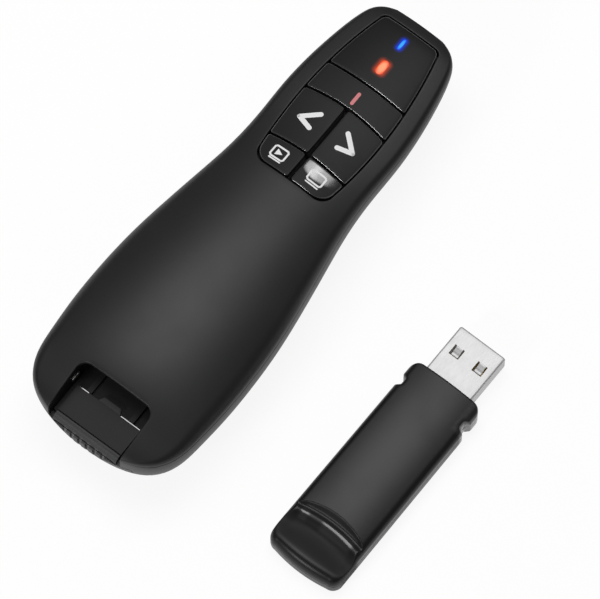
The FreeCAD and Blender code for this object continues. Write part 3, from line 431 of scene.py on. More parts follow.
def sheet(points, keep=None, ring=False):
    rows, columns = points.shape[:2]
    return points.reshape(-1, 3), grid_faces(rows, columns, keep, ring)


def slab_sheets(near, far):
    """Closed slab between two grids, with a strip round their edges."""
    return [sheet(near), sheet(far), sheet(np.stack([edge_loop(near), edge_loop(far)]), ring=True)]


def joined(patches):
    points, faces, start = [], [], 0
    for place, quads in patches:
        points.append(place)
        faces.append(quads + start)
        start += len(place)
    return np.concatenate(points), np.concatenate(faces)


def stack(x, y, z):
    return np.stack(np.broadcast_arrays(x, y, z), -1).astype(float)


def new_object(name, data):
    item = bpy.data.objects.new(name, data)
    bpy.context.scene.collection.objects.link(item)
    return item


def make_piece(name, patches, body, slot, stands_for=(), finish=None, wall=0.0, crease=35):
    """Mesh from patches in millimetres: doubles merged, faces turned outwards, then given its wall."""
    points, faces = joined(patches)
    mesh = bpy.data.meshes.new(name)
    mesh.from_pydata((points * MM).tolist(), [], faces.tolist())
    work = bmesh.new()
    work.from_mesh(mesh)
    bmesh.ops.remove_doubles(work, verts=work.verts, dist=2e-6)
    bmesh.ops.dissolve_degenerate(work, edges=work.edges, dist=1e-6)
    bmesh.ops.recalc_face_normals(work, faces=work.faces)
    work.to_mesh(mesh)
    work.free()
    piece = new_object(name, mesh)
    if wall:
        give_wall(piece, wall)
    finish_mesh(piece.data, crease)
    piece.data.materials.append(materials[finish or slot])
    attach(piece, body)
    if stands_for:
        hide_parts(*stands_for)
    return piece


def give_wall(piece, wall):
    """Thickness inwards from the outer face."""
    thicken = piece.modifiers.new("wall", "SOLIDIFY")
    thicken.thickness = wall * MM
    thicken.offset = -1
    bpy.context.view_layer.update()
    ready = piece.evaluated_get(bpy.context.evaluated_depsgraph_get())
    mesh = bpy.data.meshes.new_from_object(ready)
    piece.modifiers.clear()
    piece.data = mesh


def finish_mesh(mesh, crease):
    mesh.polygons.foreach_set("use_smooth", np.ones(len(mesh.polygons), bool))
    mesh.set_sharp_from_angle(angle=math.radians(crease))
    mesh.update()


def rim_sheet(form, outer, inner, low, ring):
    """Rounded rim and upright wall along an opening: the plan point goes from the outer to the inner
    line as sin a while the height falls by the round's (1 - cos a), then the wall drops to low."""
    a = np.radians(np.linspace(0, 90, 7))[:, None]
    share = np.sin(a)
    x = outer[:, 0] + (inner[:, 0] - outer[:, 0]) * share
    y = outer[:, 1] + (inner[:, 1] - outer[:, 1]) * share
    z = form.top(x, y) - form.rim_round * (1 - np.cos(a))
    z = np.maximum(z, low)
    drop = np.linspace(0, 1, 4)[1:, None]
    wall = z[-1] + (low - z[-1]) * drop
    x = np.concatenate([x, np.repeat(x[-1:], 3, 0)])
    y = np.concatenate([y, np.repeat(y[-1:], 3, 0)])
    return sheet(stack(x, y, np.concatenate([z, wall])), ring=ring)


def top_cover_sheets(form):
    """Rows of x along the handset; columns run across it at shares of the arch's own length, with a
    strip on each side of the openings and a middle part that is left out where they are."""
    step = form.rim_round
    tail = np.linspace(-form.nose, 0, 4000)
    start = np.interp(form.bay_half + step, form.plan(tail[:1200]), tail[:1200])
    bay = form.bay_outline(start)
    bay_out = bay + step * outward(bay, (0, 1), (1, 0))
    field = form.field_outline()
    field_out = field + step * outward(field, (-1, 0), (1, 0))
    between = np.linspace(bay_out[-1, 0], field_out[0, 0], 62)[1:-1]
    nose = field_out[-1, 0] + (form.nose - field_out[-1, 0]) * np.sin(np.linspace(0, np.pi / 2, 12))[1:]
    x = np.concatenate([bay_out[:, 0], between, field_out[:, 0], nose])
    edge = np.concatenate([
        bay_out[:, 1],
        np.interp(between, [bay_out[-1, 0], field_out[0, 0]], [bay_out[-1, 1], field_out[0, 1]]),
        field_out[:, 1],
        np.interp(nose, [field_out[-1, 0], form.nose], [field_out[-1, 1], 4.6]),
    ])
    edge = np.minimum(edge, form.plan(x))
    half, rise, shoulder = [v[:, None] for v in form.arch(x)]
    rim = arch_reach(half, rise, shoulder, half)
    inner = arch_reach(half, rise, shoulder, edge[:, None])
    lip = np.minimum(lip_width, (rim - inner) / 3)
    strip = inner + (rim - lip - inner) * np.linspace(0, 1, 26)[1:]
    middle = inner * np.linspace(-1, 1, middle_columns)
    reach = np.concatenate([-strip[:, ::-1], middle, strip], 1)
    y, z = arch_point(half, rise, shoulder, reach)
    grid = stack(x[:, None], y, form.seam + z)
    lip_left = stack(x, (half - lip)[:, 0], form.seam)[:, None]
    lip_right = lip_left * (1, -1, 1)
    grid = np.concatenate([lip_right, grid, lip_left], 1)
    first, last = strip.shape[1] + 1, strip.shape[1] + middle_columns
    field_rows = (len(bay) + len(between), len(bay) + len(between) + len(field) - 1)
    keep = np.ones((len(x) - 1, grid.shape[1] - 1), bool)
    keep[:len(bay) - 1, first:last] = False
    keep[field_rows[0]:field_rows[1], first:last] = False
    patches = [sheet(grid, keep)]
    cap = grid[-1][None] * (1, 1, 0)
    share = np.linspace(1, 0, 3)[:, None, None]
    cap = cap + (0, 0, form.seam) + (grid[-1][None] - (0, 0, form.seam)) * (0, 0, 1) * share
    patches.append(sheet(cap))
    back, front = [grid[row, first:last + 1, 1] for row in field_rows]
    patches.append(field_rim(form, field, field_out, back, front))
    patches += bay_rim(form, bay, bay_out, grid[len(bay) - 1, first:last + 1, 1])
    return patches


def round_line(side, front, front_y, back=None, back_y=()):
    """Outline in plan: the left side, the front edge, the mirrored side, and a back edge if it has one."""
    parts = [side, stack(front, front_y[::-1][1:-1], 0)[:, :2], (side * (1, -1))[::-1]]
    if back is not None:
        parts.append(stack(back, back_y[1:-1], 0)[:, :2])
    return np.concatenate(parts)


def field_rim(form, field, field_out, back, front):
    step = form.rim_round
    inner = round_line(field, form.field_front, front, form.field_back, back)
    outer = round_line(field_out, form.field_front + step, front, form.field_back - step, back)
    return rim_sheet(form, outer, inner, np.full(len(inner), form.seam), True)


def bay_roof(form, y):
    """Height of the arched tunnel behind the mouth."""
    return tunnel_spring + arch_height(form.bay_half, tunnel_rise, tunnel_shoulder, y)


def bay_rim(form, bay, bay_out, front):
    """Rim of the mouth, open to the tail, and the arched tunnel that the stowed receiver fills."""
    inner = round_line(bay, form.bay_front, front)
    outer = round_line(bay_out, form.bay_front + form.rim_round, front)
    corner = form.bay_front - form.bay_corner
    low = np.where(inner[:, 0] < corner + 1e-6, form.seam, bay_roof(form, inner[:, 1]))
    rim = rim_sheet(form, outer, inner, low, False)
    mouth = inner[inner[:, 0] > corner - 1e-6]
    side = np.repeat([[corner, form.bay_half]], 2, 0)
    path = np.concatenate([side, mouth, side * (1, -1)])
    z = bay_roof(form, path[:, 1])
    z[[0, 1, -2, -1]] = [form.seam, form.seam + 1, form.seam + 1, form.seam]
    share = np.linspace(0, 1, 8)[:, None]
    x = path[:, 0] + (tunnel_end - path[:, 0]) * share
    return [rim, sheet(stack(x, path[:, 1], z))]


def belly_point(form, x, turn):
    """Place on the belly at an angle up the side arc from the level underside's edge: flat + R sin turn
    across and low + R (1 - cos turn) up, held at the table's height or above."""
    _, depth, flat, radius = form.belly_sizes(x)
    y = flat + radius * np.sin(turn)
    return y, np.maximum(form.seam - depth + radius * (1 - np.cos(turn)), 0)


def belly_turn(form, x, y=None, z=None):
    """Angle up the side arc at a half width or at a height."""
    _, depth, flat, radius = form.belly_sizes(x)
    if z is None:
        return np.arcsin(np.clip((y - flat) / radius, -1, 1))
    return np.arccos(np.clip(1 - (z - form.seam + depth) / radius, -1, 1))


def rounded(a, b, radius):
    """Intersection of two signed distances with a rounded corner."""
    p, q = a + radius, b + radius
    return np.minimum(np.maximum(p, q), 0) + np.hypot(np.maximum(p, 0), np.maximum(q, 0)) - radius


def row_line(place, bow, y):
    """Bowed line across the field: place - R + sqrt(R^2 - y^2)."""
    radius = (row_reach ** 2 + bow ** 2) / (2 * bow)
    return place - radius + np.sqrt(radius ** 2 - y ** 2)


def key_distance(form, row, side, x, y):
    """Signed distance from the outline of a key or of the panel, negative inside."""
    def edge(name, gap):
        return row_line(getattr(form, name + "_edge") + gap, row_bows[name], y)

    lean = 0.99
    flank = (np.abs(y) - form.field_side(x) + key_gap) * lean
    if row in row_bows:
        shape = rounded(edge(row, key_gap) - x, flank, key_corner)
    else:
        shape = rounded(form.field_back + key_gap - x, flank, form.back_corner - key_gap)
    if row in row_above:
        shape = rounded(shape, x - edge(row_above[row], -key_gap), key_corner)
    else:
        shape = rounded(shape, x - form.field_front + key_gap, form.front_corner - key_gap)
    if side:
        shape = rounded(shape, split_half - side * y, key_corner)
    return shape


def rays(distance, centre, turns, level):
    """How far from the centre each ray meets a level of a distance function, by halving."""
    low, high = np.zeros_like(turns), np.full_like(turns, 30.0)
    for _ in range(44):
        middle = (low + high) / 2
        value = distance(centre[0] + middle * np.cos(turns), centre[1] + middle * np.sin(turns))
        low = np.where(value < level, middle, low)
        high = np.where(value < level, high, middle)
    return (low + high) / 2


def even_turns(distance, centre, count):
    """Ray angles that divide an outline into equal lengths."""
    turns = np.linspace(0, 2 * np.pi, 2881)
    reach = rays(distance, centre, turns, 0)
    path = np.stack([reach * np.cos(turns), reach * np.sin(turns)], 1)
    along = np.concatenate([[0], np.cumsum(np.hypot(*np.diff(path, axis=0).T))])
    return np.interp(np.linspace(0, along[-1], count + 1)[:-1], along, turns)


def ring_points(distance, centre, turns, level, share=1.0):
    reach = rays(distance, centre, turns, level) * share
    return centre[0] + reach * np.cos(turns), centre[1] + reach * np.sin(turns)


def cap_sheet(form, distance, centre, rise, floor, stem):
    """Closed cap from rings round its middle: the crown, a rounded edge, the upright side, and below it
    the hollow with a square stem."""
    turns = even_turns(distance, centre, 220)
    r = form.key_round
    rings = []
    for share in np.linspace(0, 1, 15):
        x, y = ring_points(distance, centre, turns, -r, share)
        rings.append(stack(x, y, form.crown_top(x, y, rise)))
    for a in np.radians(np.linspace(0, 90, 7))[1:]:
        x, y = ring_points(distance, centre, turns, -r * (1 - math.sin(a)))
        rings.append(stack(x, y, form.crown_top(x, y, rise) - r * (1 - math.cos(a))))
    edge = rings[-1]
    rings.append(edge * (1, 1, 0.5) + (0, 0, floor / 2))
    rings.append(edge * (1, 1, 0) + (0, 0, floor))
    wall, roof, least = 1.1, 1.0, 0.3
    x, y = ring_points(distance, centre, turns, -wall)
    rings.append(stack(x, y, floor))
    ceiling = max(floor + least, edge[:, 2].min() - roof)
    rings.append(stack(x, y, ceiling))
    if stem:
        reach = stem[0] / 2 / np.maximum(np.abs(np.cos(turns)), np.abs(np.sin(turns)))
        x, y = centre[0] + reach * np.cos(turns), centre[1] + reach * np.sin(turns)
        rings.append(stack(x, y, ceiling))
        rings.append(stack(x, y, stem[1]))
    rings.append(stack(np.full_like(turns, centre[0]), centre[1], stem[1] if stem else ceiling))
    return sheet(np.stack(rings), ring=True)


def capsule_ring(start, end, width, share):
    """Outline of a line with round ends: points along it moved across by a share of the half width."""
    start, end = np.array(start, float), np.array(end, float)
    along = math.atan2(*(end - start)[::-1])
    steps = max(3, int(math.dist(start, end) / 0.3) + 2)
    run = np.linspace(0, 1, steps)
    place = np.concatenate([np.ones(13), 1 - run[1:-1], np.zeros(13), run[1:-1]])
    turns = np.concatenate([np.linspace(-90, 90, 13), np.full(steps - 2, 90.0), np.linspace(90, 270, 13),
                            np.full(steps - 2, -90.0)])
    a = np.radians(turns) + along
    core = start + (end - start) * place[:, None]
    return core + share * width / 2 * np.stack([np.cos(a), np.sin(a)], 1)


def domed_rings(surface, outline, rise):
    """Closed thin piece over a surface: height rise (1 - share^4) inside an outline that a share scales."""
    rings = []
    for share in (0, 0.3, 0.55, 0.75, 0.9, 1.0):
        place = outline(share)
        rings.append(stack(place[:, 0], place[:, 1], surface(*place.T) + rise * (1 - share ** 4) + 0.004))
    for share in (1.0, 0):
        place = outline(share)
        rings.append(stack(place[:, 0], place[:, 1], surface(*place.T) - 0.06))
    return sheet(np.stack(rings), ring=True)


def stroke_sheet(surface, start, end, width, rise):
    """Thin domed stroke with round ends."""
    return domed_rings(surface, partial(capsule_ring, start, end, width), rise)


def triangle_sheet(surface, corners, rise):
    """Thin domed triangle: its outline shrinks towards its middle."""
    corners = np.array(corners, float)
    run = np.linspace(0, 1, 9)[:-1, None]
    sides = [a + (b - a) * run for a, b in zip(corners, np.roll(corners, -1, 0))]
    outline, middle = np.concatenate(sides), corners.mean(0)
    return domed_rings(surface, lambda share: middle + (outline - middle) * share, rise)


def path_strokes(surface, points, width, rise):
    """Closed line of strokes through points."""
    return [stroke_sheet(surface, a, b, width, rise) for a, b in zip(points, points[1:] + points[:1])]


def screen_mark(surface, x, y, tall, wide, stroke, under):
    """Outline of a screen with cut corners, on a base line beneath it."""
    u, v, cut = tall / 2, wide / 2, 0.35
    corners = [(x - u + cut, y - v), (x + u - cut, y - v), (x + u, y - v + cut), (x + u, y + v - cut),
               (x + u - cut, y + v), (x - u + cut, y + v), (x - u, y + v - cut), (x - u, y - v + cut)]
    base = stroke_sheet(surface, (under, y - v + 0.3), (under, y + v - 0.3), stroke * 0.8, mark_rise)
    return path_strokes(surface, corners, stroke, mark_rise) + [base]


def smooth_step(value, low, high):
    share = np.clip((value - low) / (high - low), 0, 1)
    return share * share * (3 - 2 * share)


def belly_rows(form, x, turns, flat_steps):
    """Rows across the belly: side arc angles on the left, the level underside, and the mirror image."""
    y, z = belly_point(form, x[:, None], turns)
    left = stack(x[:, None], y, z)
    flat = belly_point(form, x, 0 * x)
    share = np.linspace(1, -1, flat_steps)[None, 1:-1]
    under = stack(x[:, None], flat[0][:, None] * share, flat[1][:, None])
    return np.concatenate([left, under, left[:, ::-1] * (1, -1, 1)], 1)


def bottom_edge(form, x):
    """Angle at which the bottom cover ends: at the door, and at the bay's mouth in the tail."""
    high = np.where(x < tail_wall_front + door_gap, mouth_low, door_top + door_gap)
    mouth = belly_turn(form, x, y=form.bay_half)
    edge = np.minimum(belly_turn(form, x, y=door_half + door_gap), belly_turn(form, x, z=high))
    edge = np.where(belly_point(form, x, mouth)[1] > mouth_low, np.maximum(edge, mouth), edge)
    head = belly_turn(form, x, y=np.minimum(door_half + door_gap, 0.72 * form.plan(x)))
    return np.where(x > door_head + door_gap, head, edge)


def bottom_cover_sheets(form):
    """Rows along the handset; on each side a strip from the seam down to the openings, and behind the
    head the part between the strips is left out where the door fits."""
    tail = np.linspace(-form.nose, -form.nose + 12, 2400)
    start = np.interp(form.bay_half, form.plan(tail), tail)
    head = form.nose - 0.12 - (form.nose + 0.93) * (1 - np.sin(np.linspace(0, np.pi / 2, 60))) ** 1.1
    tail_step, head_step = tail_wall_front + door_gap, door_head + door_gap
    x = np.unique(np.concatenate([
        start + (tail_step - 0.01 - start) * np.linspace(0, 1, 14) ** 1.5, [tail_step + 0.01],
        np.linspace(-54.0, head_step - 0.01, 60), np.linspace(head_step + 0.01, slot_back, 44),
        np.linspace(slot_back, slot_front, 7), head[head > slot_front + 0.55], [form.nose]]))
    half, depth, _, radius = form.belly_sizes(x)
    rim = np.arccos(np.clip(1 - depth / radius, -1, 1))
    edge = np.minimum(bottom_edge(form, x), rim)
    lip = np.minimum(lip_width / radius, (rim - edge) / 3)
    c = np.linspace(0, 1, 21)[None, :]
    even = rim[:, None] - lip[:, None] + (edge - rim + lip)[:, None] * c
    knots = np.stack([rim - lip, belly_turn(form, x, z=slot_high), belly_turn(form, x, z=slot_low), edge], 1)
    knots = np.minimum.accumulate(np.maximum(knots, edge[:, None]), axis=1)
    share = np.clip((c - np.array([0, 0.3, 0.55])[:, None]) / np.array([0.3, 0.25, 0.45])[:, None], 0, 1)
    laid = knots[:, :1] + np.diff(knots, axis=1) @ share
    weight = (smooth_step(x, 0, 18) * (1 - smooth_step(x, 47, 54)))[:, None]
    strip = even + (laid - even) * weight
    inner = edge[:, None] * (1 - np.linspace(0, 1, 11)[None, 1:])
    grid = belly_rows(form, x, np.concatenate([strip, inner], 1), 13)
    lip_left = stack(x, half - lip * radius, form.seam)[:, None]
    grid = np.concatenate([lip_left, grid, lip_left * (1, -1, 1)], 1)
    first, last = strip.shape[1], grid.shape[1] - 1 - strip.shape[1]
    keep = np.ones((len(x) - 1, grid.shape[1] - 1), bool)
    keep[:np.searchsorted(x, head_step), first:last] = False
    slot = slice(*np.searchsorted(x, [slot_back - 0.05, slot_front - 0.05]))
    keep[slot, 7:12] = False
    return [sheet(grid, keep), nose_cap(form, grid[-1])]


def nose_cap(form, outline):
    """Level end of the nose round the laser's bore: each ring is nearer to the bore, and the last one
    runs in."""
    seam = np.linspace(1, -1, 9)[1:-1, None] * outline[-1] * (0, 1, 0) + (form.nose, 0, form.seam)
    loop = np.concatenate([outline, seam * (1, -1, 1) if outline[-1, 1] > 0 else seam])
    bore_drop, bore_radius = 4.1, 1.6
    centre = np.array([form.nose, 0, form.seam - bore_drop])
    spoke = loop - centre
    bore = centre + spoke / np.linalg.norm(spoke, axis=1)[:, None] * bore_radius
    rings = [loop + (bore - loop) * share for share in (0, 0.3, 0.6, 0.9, 1.0)]
    rings.append(bore - (0.15, 0, 0))
    rings.append(bore - (2.0, 0, 0))
    return sheet(np.stack(rings), ring=True)


def bay_wall_sheets(form):
    """Upright walls on both sides of the bay, from the outer surface to the mouth's front."""
    tail = np.linspace(-form.nose, -form.nose + 10, 1200)
    _, depth, flat, radius = form.belly_sizes(tail)
    patches = []
    for side in (1, -1):
        rows = []
        for z in np.linspace(mouth_low, form.seam, 6):
            drop = np.clip((form.seam - depth + radius - z) / radius, -1, 1)
            start = np.interp(form.bay_half + bay_wall, flat + radius * np.sqrt(1 - drop ** 2), tail)
            rows.append(stack(np.linspace(start, form.bay_front, 12), side * form.bay_half, z))
        near = np.stack(rows)
        patches += slab_sheets(near, near + (0, side * bay_wall, 0))
    return patches


def door_sheets(form):
    """Battery door: the level underside and its curved sides, turned up into a ribbed wall at the tail."""
    x = np.unique(np.concatenate([
        -form.nose + 3.4 * (1 - np.cos(np.linspace(0, np.pi / 2, 34))), [tail_wall_front + 0.01],
        np.linspace(-54.0, door_head, 56)]))
    wall_rows = x < tail_wall_front + 0.005
    top = np.where(wall_rows, tail_wall_top, door_top)
    edge = np.minimum(belly_turn(form, x, y=door_half), belly_turn(form, x, z=top))
    across = np.array([-0.5, -0.44, -0.15, 0.15, 0.44, 0.5])
    grooves = np.arange(groove_pitch / 2, groove_reach, groove_pitch)[:, None] + across
    inner = np.sort(np.concatenate([[0.0], grooves.ravel()]))
    start = np.maximum(belly_turn(form, x, y=inner[-1]), 0)
    climb = (edge - start)[:, None] * np.linspace(0, 1, 37)[1:]
    outer = belly_point(form, x[:, None], start[:, None] + climb)
    flat = form.belly_sizes(x)[2][:, None]
    turns = np.where(inner > flat, belly_turn(form, x[:, None], y=inner), 0)
    y = np.concatenate([np.broadcast_to(inner, turns.shape), outer[0]], 1)
    z = np.concatenate([belly_point(form, x[:, None], turns)[1], outer[1]], 1)
    left = stack(x[:, None], y, z)[:, ::-1]
    grid = np.concatenate([left, left[:, ::-1][:, 1:] * (1, -1, 1)], 1)
    end = grid[0]
    rise = np.linspace(0, 1, 6)[:, None, None]
    cap = end[None] + (stack(end[:, 0], end[:, 1], tail_wall_top) - end)[None] * rise
    shelf = grid[wall_rows] * (1, 1, 0) + (0, 0, tail_wall_top)
    return [grooved(form, part) for part in (grid, cap, shelf)]


def grooved(form, grid):
    """Grid with the six grip grooves let into the tail: x is held at the groove's depth or deeper."""
    y, z = grid[..., 1], grid[..., 2]
    place = np.abs((y + groove_reach) % groove_pitch - groove_pitch / 2)
    groove = (place < groove_half) * (np.abs(y) < groove_reach)
    x = np.maximum(grid[..., 0], -form.nose + groove_depth * groove)
    return sheet(stack(x, y, z))


def bar_sheets(profile, low, high):
    """Profile in x and z carried along y, closed by a fan at each end."""
    profile = np.array(profile, float)
    y = np.linspace(low, high, 24)
    body = stack(profile[None, :, 0], y[:, None], profile[None, :, 1])
    ends = [np.stack([body[row], np.broadcast_to(body[row].mean(0), body[row].shape)]) for row in (0, -1)]
    return [sheet(part, ring=True) for part in (body, *ends)]


def lip_sheets(form):
    """Lip of the sill: its top edge is a quarter round towards the tail."""
    low, joint = sill_top - sill_round, form.sill_joint
    turns = np.radians(np.linspace(0, 84, 12))[1:]
    profile = [(form.sill_back + 0.25, low - 0.6), (form.sill_back, low),
               *[(joint - sill_round * math.cos(a), low + sill_round * math.sin(a)) for a in turns],
               (joint, sill_top - 0.14), (joint, low - 0.6)]
    return bar_sheets(profile, -sill_half, sill_half)


def pad_sheets(form):
    """Level pad of the sill; a fine groove parts it from the lip."""
    back, front = form.sill_joint + 0.12, form.sill_front
    profile = [(back, sill_top - 0.85), (back, sill_top - 0.1),
               *[(x, sill_top) for x in np.linspace(back + 0.1, front - 0.12, 8)],
               (front, sill_top - 0.12), (front, sill_top - 0.85)]
    return bar_sheets(profile, -sill_half, sill_half)


def tab_sheets(form):
    """Tapered tab in front of the pad."""
    front = form.sill_front
    x = np.linspace(front - 0.1, front + 1.1, 6)
    wide = np.interp(x, [front, front + 1.1], [2.8, 2.1])
    upper = stack(x[:, None], wide[:, None] * np.linspace(-1, 1, 9), sill_top - 0.005)
    return slab_sheets(upper, upper * (1, 1, 0) + (0, 0, sill_top - 0.88))


def pad_edge_sheets(form):
    """Polished bevel along the pad's front edge on each side of the tab."""
    front = form.sill_front
    profile = [(front - 0.24, sill_top + 0.01), (front - 0.06, sill_top - 0.003),
               (front - 0.06, sill_top - 0.1), (front - 0.24, sill_top - 0.1)]
    return [part for low, high in ((5.4, 8.1), (-8.1, -3.1)) for part in bar_sheets(profile, low, high)]


def receiver_place(points):
    """From the receiver's own frame, its rear end at the origin, to where it lies on the table."""
    turn = math.radians(-0.95)
    x = points[..., 0] * math.cos(turn) - points[..., 1] * math.sin(turn) - 50.0
    y = points[..., 0] * math.sin(turn) + points[..., 1] * math.cos(turn) - 50.45
    return stack(x, y, points[..., 2])


thumb_profile = [
    (-2.0, 5.9), (2.6, 5.62), (4.6, 5.2), (6.6, 4.76), (7.6, 4.72), (8.6, 5.0), (9.8, 5.55), (10.6, 5.66),
    (11.3, 5.42), (11.9, 5.3), (12.5, 5.75), (13.1, 6.45), (13.8, 7.2), (15.0, 8.6),
]


def receiver_plan(form, rows):
    """Grid over the receiver's plan: columns at shares of the arch's own length, rows at shares of the
    way from the bowed, round-cornered rear end to the round-cornered front end."""
    half, rise, shoulder, narrowing = form.receiver_width / 2, 2.6, 1.8, 0.25
    notch_back, notch_front, notch_run, notch_depth, crown_spring = 43.9, 46.1, 1.0, 1.0, 4.2
    whole = arch_reach(half, rise, shoulder, np.array(half))
    reach = whole * np.sin(np.linspace(-1, 1, 73) * 1.35) / math.sin(1.35)
    v, z = arch_point(half, rise, shoulder, reach)
    out = np.abs(v)
    corner, bow = 2.4, 0.7
    square = half - corner
    end_curve = corner - np.sqrt(np.maximum(corner ** 2 - np.maximum(out - square, 0) ** 2, 0))
    rear = np.where(out < square, bow * (out / square) ** 2, bow) + end_curve
    front = form.receiver_length - end_curve
    u = rear + (front - rear) * rows[:, None]
    taper = 1 - narrowing / half * u / form.receiver_length
    notch = smooth_step(u, notch_back, notch_back + notch_run)
    notch = notch * (1 - smooth_step(u, notch_front, notch_front + notch_run))
    outer = np.clip((out - 0.8 * half) / (0.2 * half), 0, 1)
    v = v * (taper - notch * outer * notch_depth / half)
    return u, v, crown_spring + np.broadcast_to(z, u.shape), u - rear, front - u


def edge_loop(grid):
    return np.concatenate([grid[0], grid[1:-1, -1], grid[-1, ::-1], grid[1:-1, 0][::-1]])


def drawn_in(form, points, inset, z):
    """Points drawn in towards the receiver's middle by about inset, at a height."""
    middle = form.receiver_length / 2
    x = middle + (points[..., 0] - middle) * (1 - inset / middle)
    return stack(x, points[..., 1] * (1 - 2 * inset / form.receiver_width), z)


def receiver_box(lid, wall, base):
    """Closed box of an upper sheet, the wall round it and a lower sheet, laid in its place."""
    parts = ((lid, False), (wall, True), (base, False))
    return [sheet(receiver_place(grid), ring=ring) for grid, ring in parts]


def receiver_top_sheets(form):
    """Crown over the receiver's plan, held under the thumb scoop's profile and under quarter rounds at
    both ends, with upright sides down to the seam."""
    dense = np.concatenate([
        0.05 * np.linspace(0, 1, 26) ** 1.6, np.linspace(0.05, 0.29, 120)[1:],
        np.linspace(0.29, 0.82, 36)[1:], np.linspace(0.82, 0.985, 44)[1:],
        1 - 0.015 * (1 - np.linspace(0, 1, 14)[1:]) ** 2])
    u, v, z, from_rear, from_front = receiver_plan(form, dense)
    thumb = smooth_curve(thumb_profile, 1, 1)
    scoop_bow, scoop_half, scoop_end, clear = 1.3, 9.25, 14.6, 9.0
    blend, rear_round, front_round = 0.05, 2.6, 0.45
    bowed = u + scoop_bow * (v / scoop_half) ** 2
    scoop = np.where(bowed > scoop_end, clear, thumb(bowed))
    side = smooth_step(np.abs(v), 6.4, 8.8)
    scoop = scoop + side * 0.25 * smooth_step(bowed, 3.5, 6.0)
    low = np.minimum(z, scoop)
    z = low - blend * np.log(np.exp(-(z - low) / blend) + np.exp(-(scoop - low) / blend))
    rear = np.clip(1 - from_rear / rear_round, 0, 1)
    z = receiver_seam + (z - receiver_seam) * np.sqrt(1 - rear ** 2)
    front = np.clip(1 - from_front / front_round, 0, 1)
    z = z - front_round * (1 - np.sqrt(1 - front ** 2))
    crown = stack(u, v, np.maximum(z, receiver_seam + 0.1))
    loop = edge_loop(crown)
    mid = loop * (1, 1, 0) + (0, 0, receiver_seam + 0.12)
    wall = np.stack([loop, (loop + mid) / 2, mid, drawn_in(form, loop, seam_inset, receiver_seam)])
    return receiver_box(crown, wall, drawn_in(form, crown, seam_inset, receiver_seam))


def receiver_base_sheets(form):
    """Lower half of the receiver: upright sides with a quarter round along the bottom edge."""
    u, v = receiver_plan(form, np.linspace(0, 1, 140))[:2]
    flat, top = stack(u, v, 0), receiver_seam - 0.01
    loop = edge_loop(flat)
    rings = [drawn_in(form, loop, seam_inset, top), loop + (0, 0, top - seam_inset), loop + (0, 0, 1.5)]
    for a in np.radians(np.linspace(0, 90, 7)):
        rings.append(drawn_in(form, loop, base_round * (1 - math.cos(a)), base_round * (1 - math.sin(a))))
    under = drawn_in(form, flat, base_round, 0.0)
    return receiver_box(drawn_in(form, flat, seam_inset, top), np.stack(rings), under)


def plug_sheets(form):
    """Folded sheet shell: a rounded rectangle carried along the plug, with two windows in its top."""
    half, tall, corner, taper = form.plug_width / 2, form.plug_height / 2, 0.5, 0.4
    middle = form.receiver_height / 2
    windows = [-window_out, -window_in, window_in, window_out]
    top = np.unique(np.concatenate([np.linspace(-half + corner, half - corner, 19), windows]))
    arcs = [quarter((half - corner, tall - corner), corner, 90, 0, 6)[1:],
            quarter((half - corner, corner - tall), corner, 0, -90, 6),
            quarter((corner - half, corner - tall), corner, -90, -180, 6),
            quarter((corner - half, tall - corner), corner, 180, 90, 6)[:-1]]
    path = np.concatenate([np.stack([top, np.full_like(top, tall)], 1), *arcs])
    tip = form.receiver_length + form.plug_length
    u = np.unique(np.concatenate([
        np.linspace(form.receiver_length - 3, tip - taper, 24), [tip - window_far, tip - window_near],
        tip - taper * (1 - np.sin(np.linspace(0, np.pi / 2, 5)))]))
    inset = 0.16 * np.clip(1 - (tip - u) / taper, 0, 1) ** 2
    v = path[None, :, 0] * (1 - inset[:, None] / half)
    z = middle + path[None, :, 1] * (1 - inset[:, None] / tall)
    grid = stack(u[:, None], v, z)
    keep = np.ones((len(u) - 1, len(path)), bool)
    rows = (u[:-1] > tip - window_far - 0.01) & (u[:-1] < tip - window_near - 0.01)
    for low, high in (windows[:2], windows[2:]):
        columns = np.zeros(len(path), bool)
        columns[:len(top) - 1] = (top[:-1] > low - 1e-6) & (top[:-1] < high - 1e-6)
        keep[np.ix_(rows, columns)] = False
    return [sheet(receiver_place(grid), keep, ring=True)]


def spring_sheets(form):
    """Sprung tongue in each window: a strip from the window's front edge that dips as a quarter wave."""
    tip, top = form.receiver_length + form.plug_length, (form.receiver_height + form.plug_height) / 2
    patches = []
    for side in (1, -1):
        u = np.linspace(tip - window_near, tip - 6.1, 14)
        drop = 0.75 * np.sin(np.linspace(0, 1.9, 14)) ** 2
        v = side * (window_in + window_out) / 2 + np.linspace(-0.8, 0.8, 9)
        grid = stack(u[:, None], v[None, :], (top - 0.04 - drop)[:, None])
        patches.append(sheet(receiver_place(grid)))
    return patches


def facing(paint):
    """Upward part of the surface's normal."""
    parts = paint.tree.nodes.new("ShaderNodeSeparateXYZ")
    paint.feed(parts.inputs[0], paint.add("ShaderNodeTexCoord", {}, {}, "Normal"))
    return Value(paint, parts.outputs["Z"])


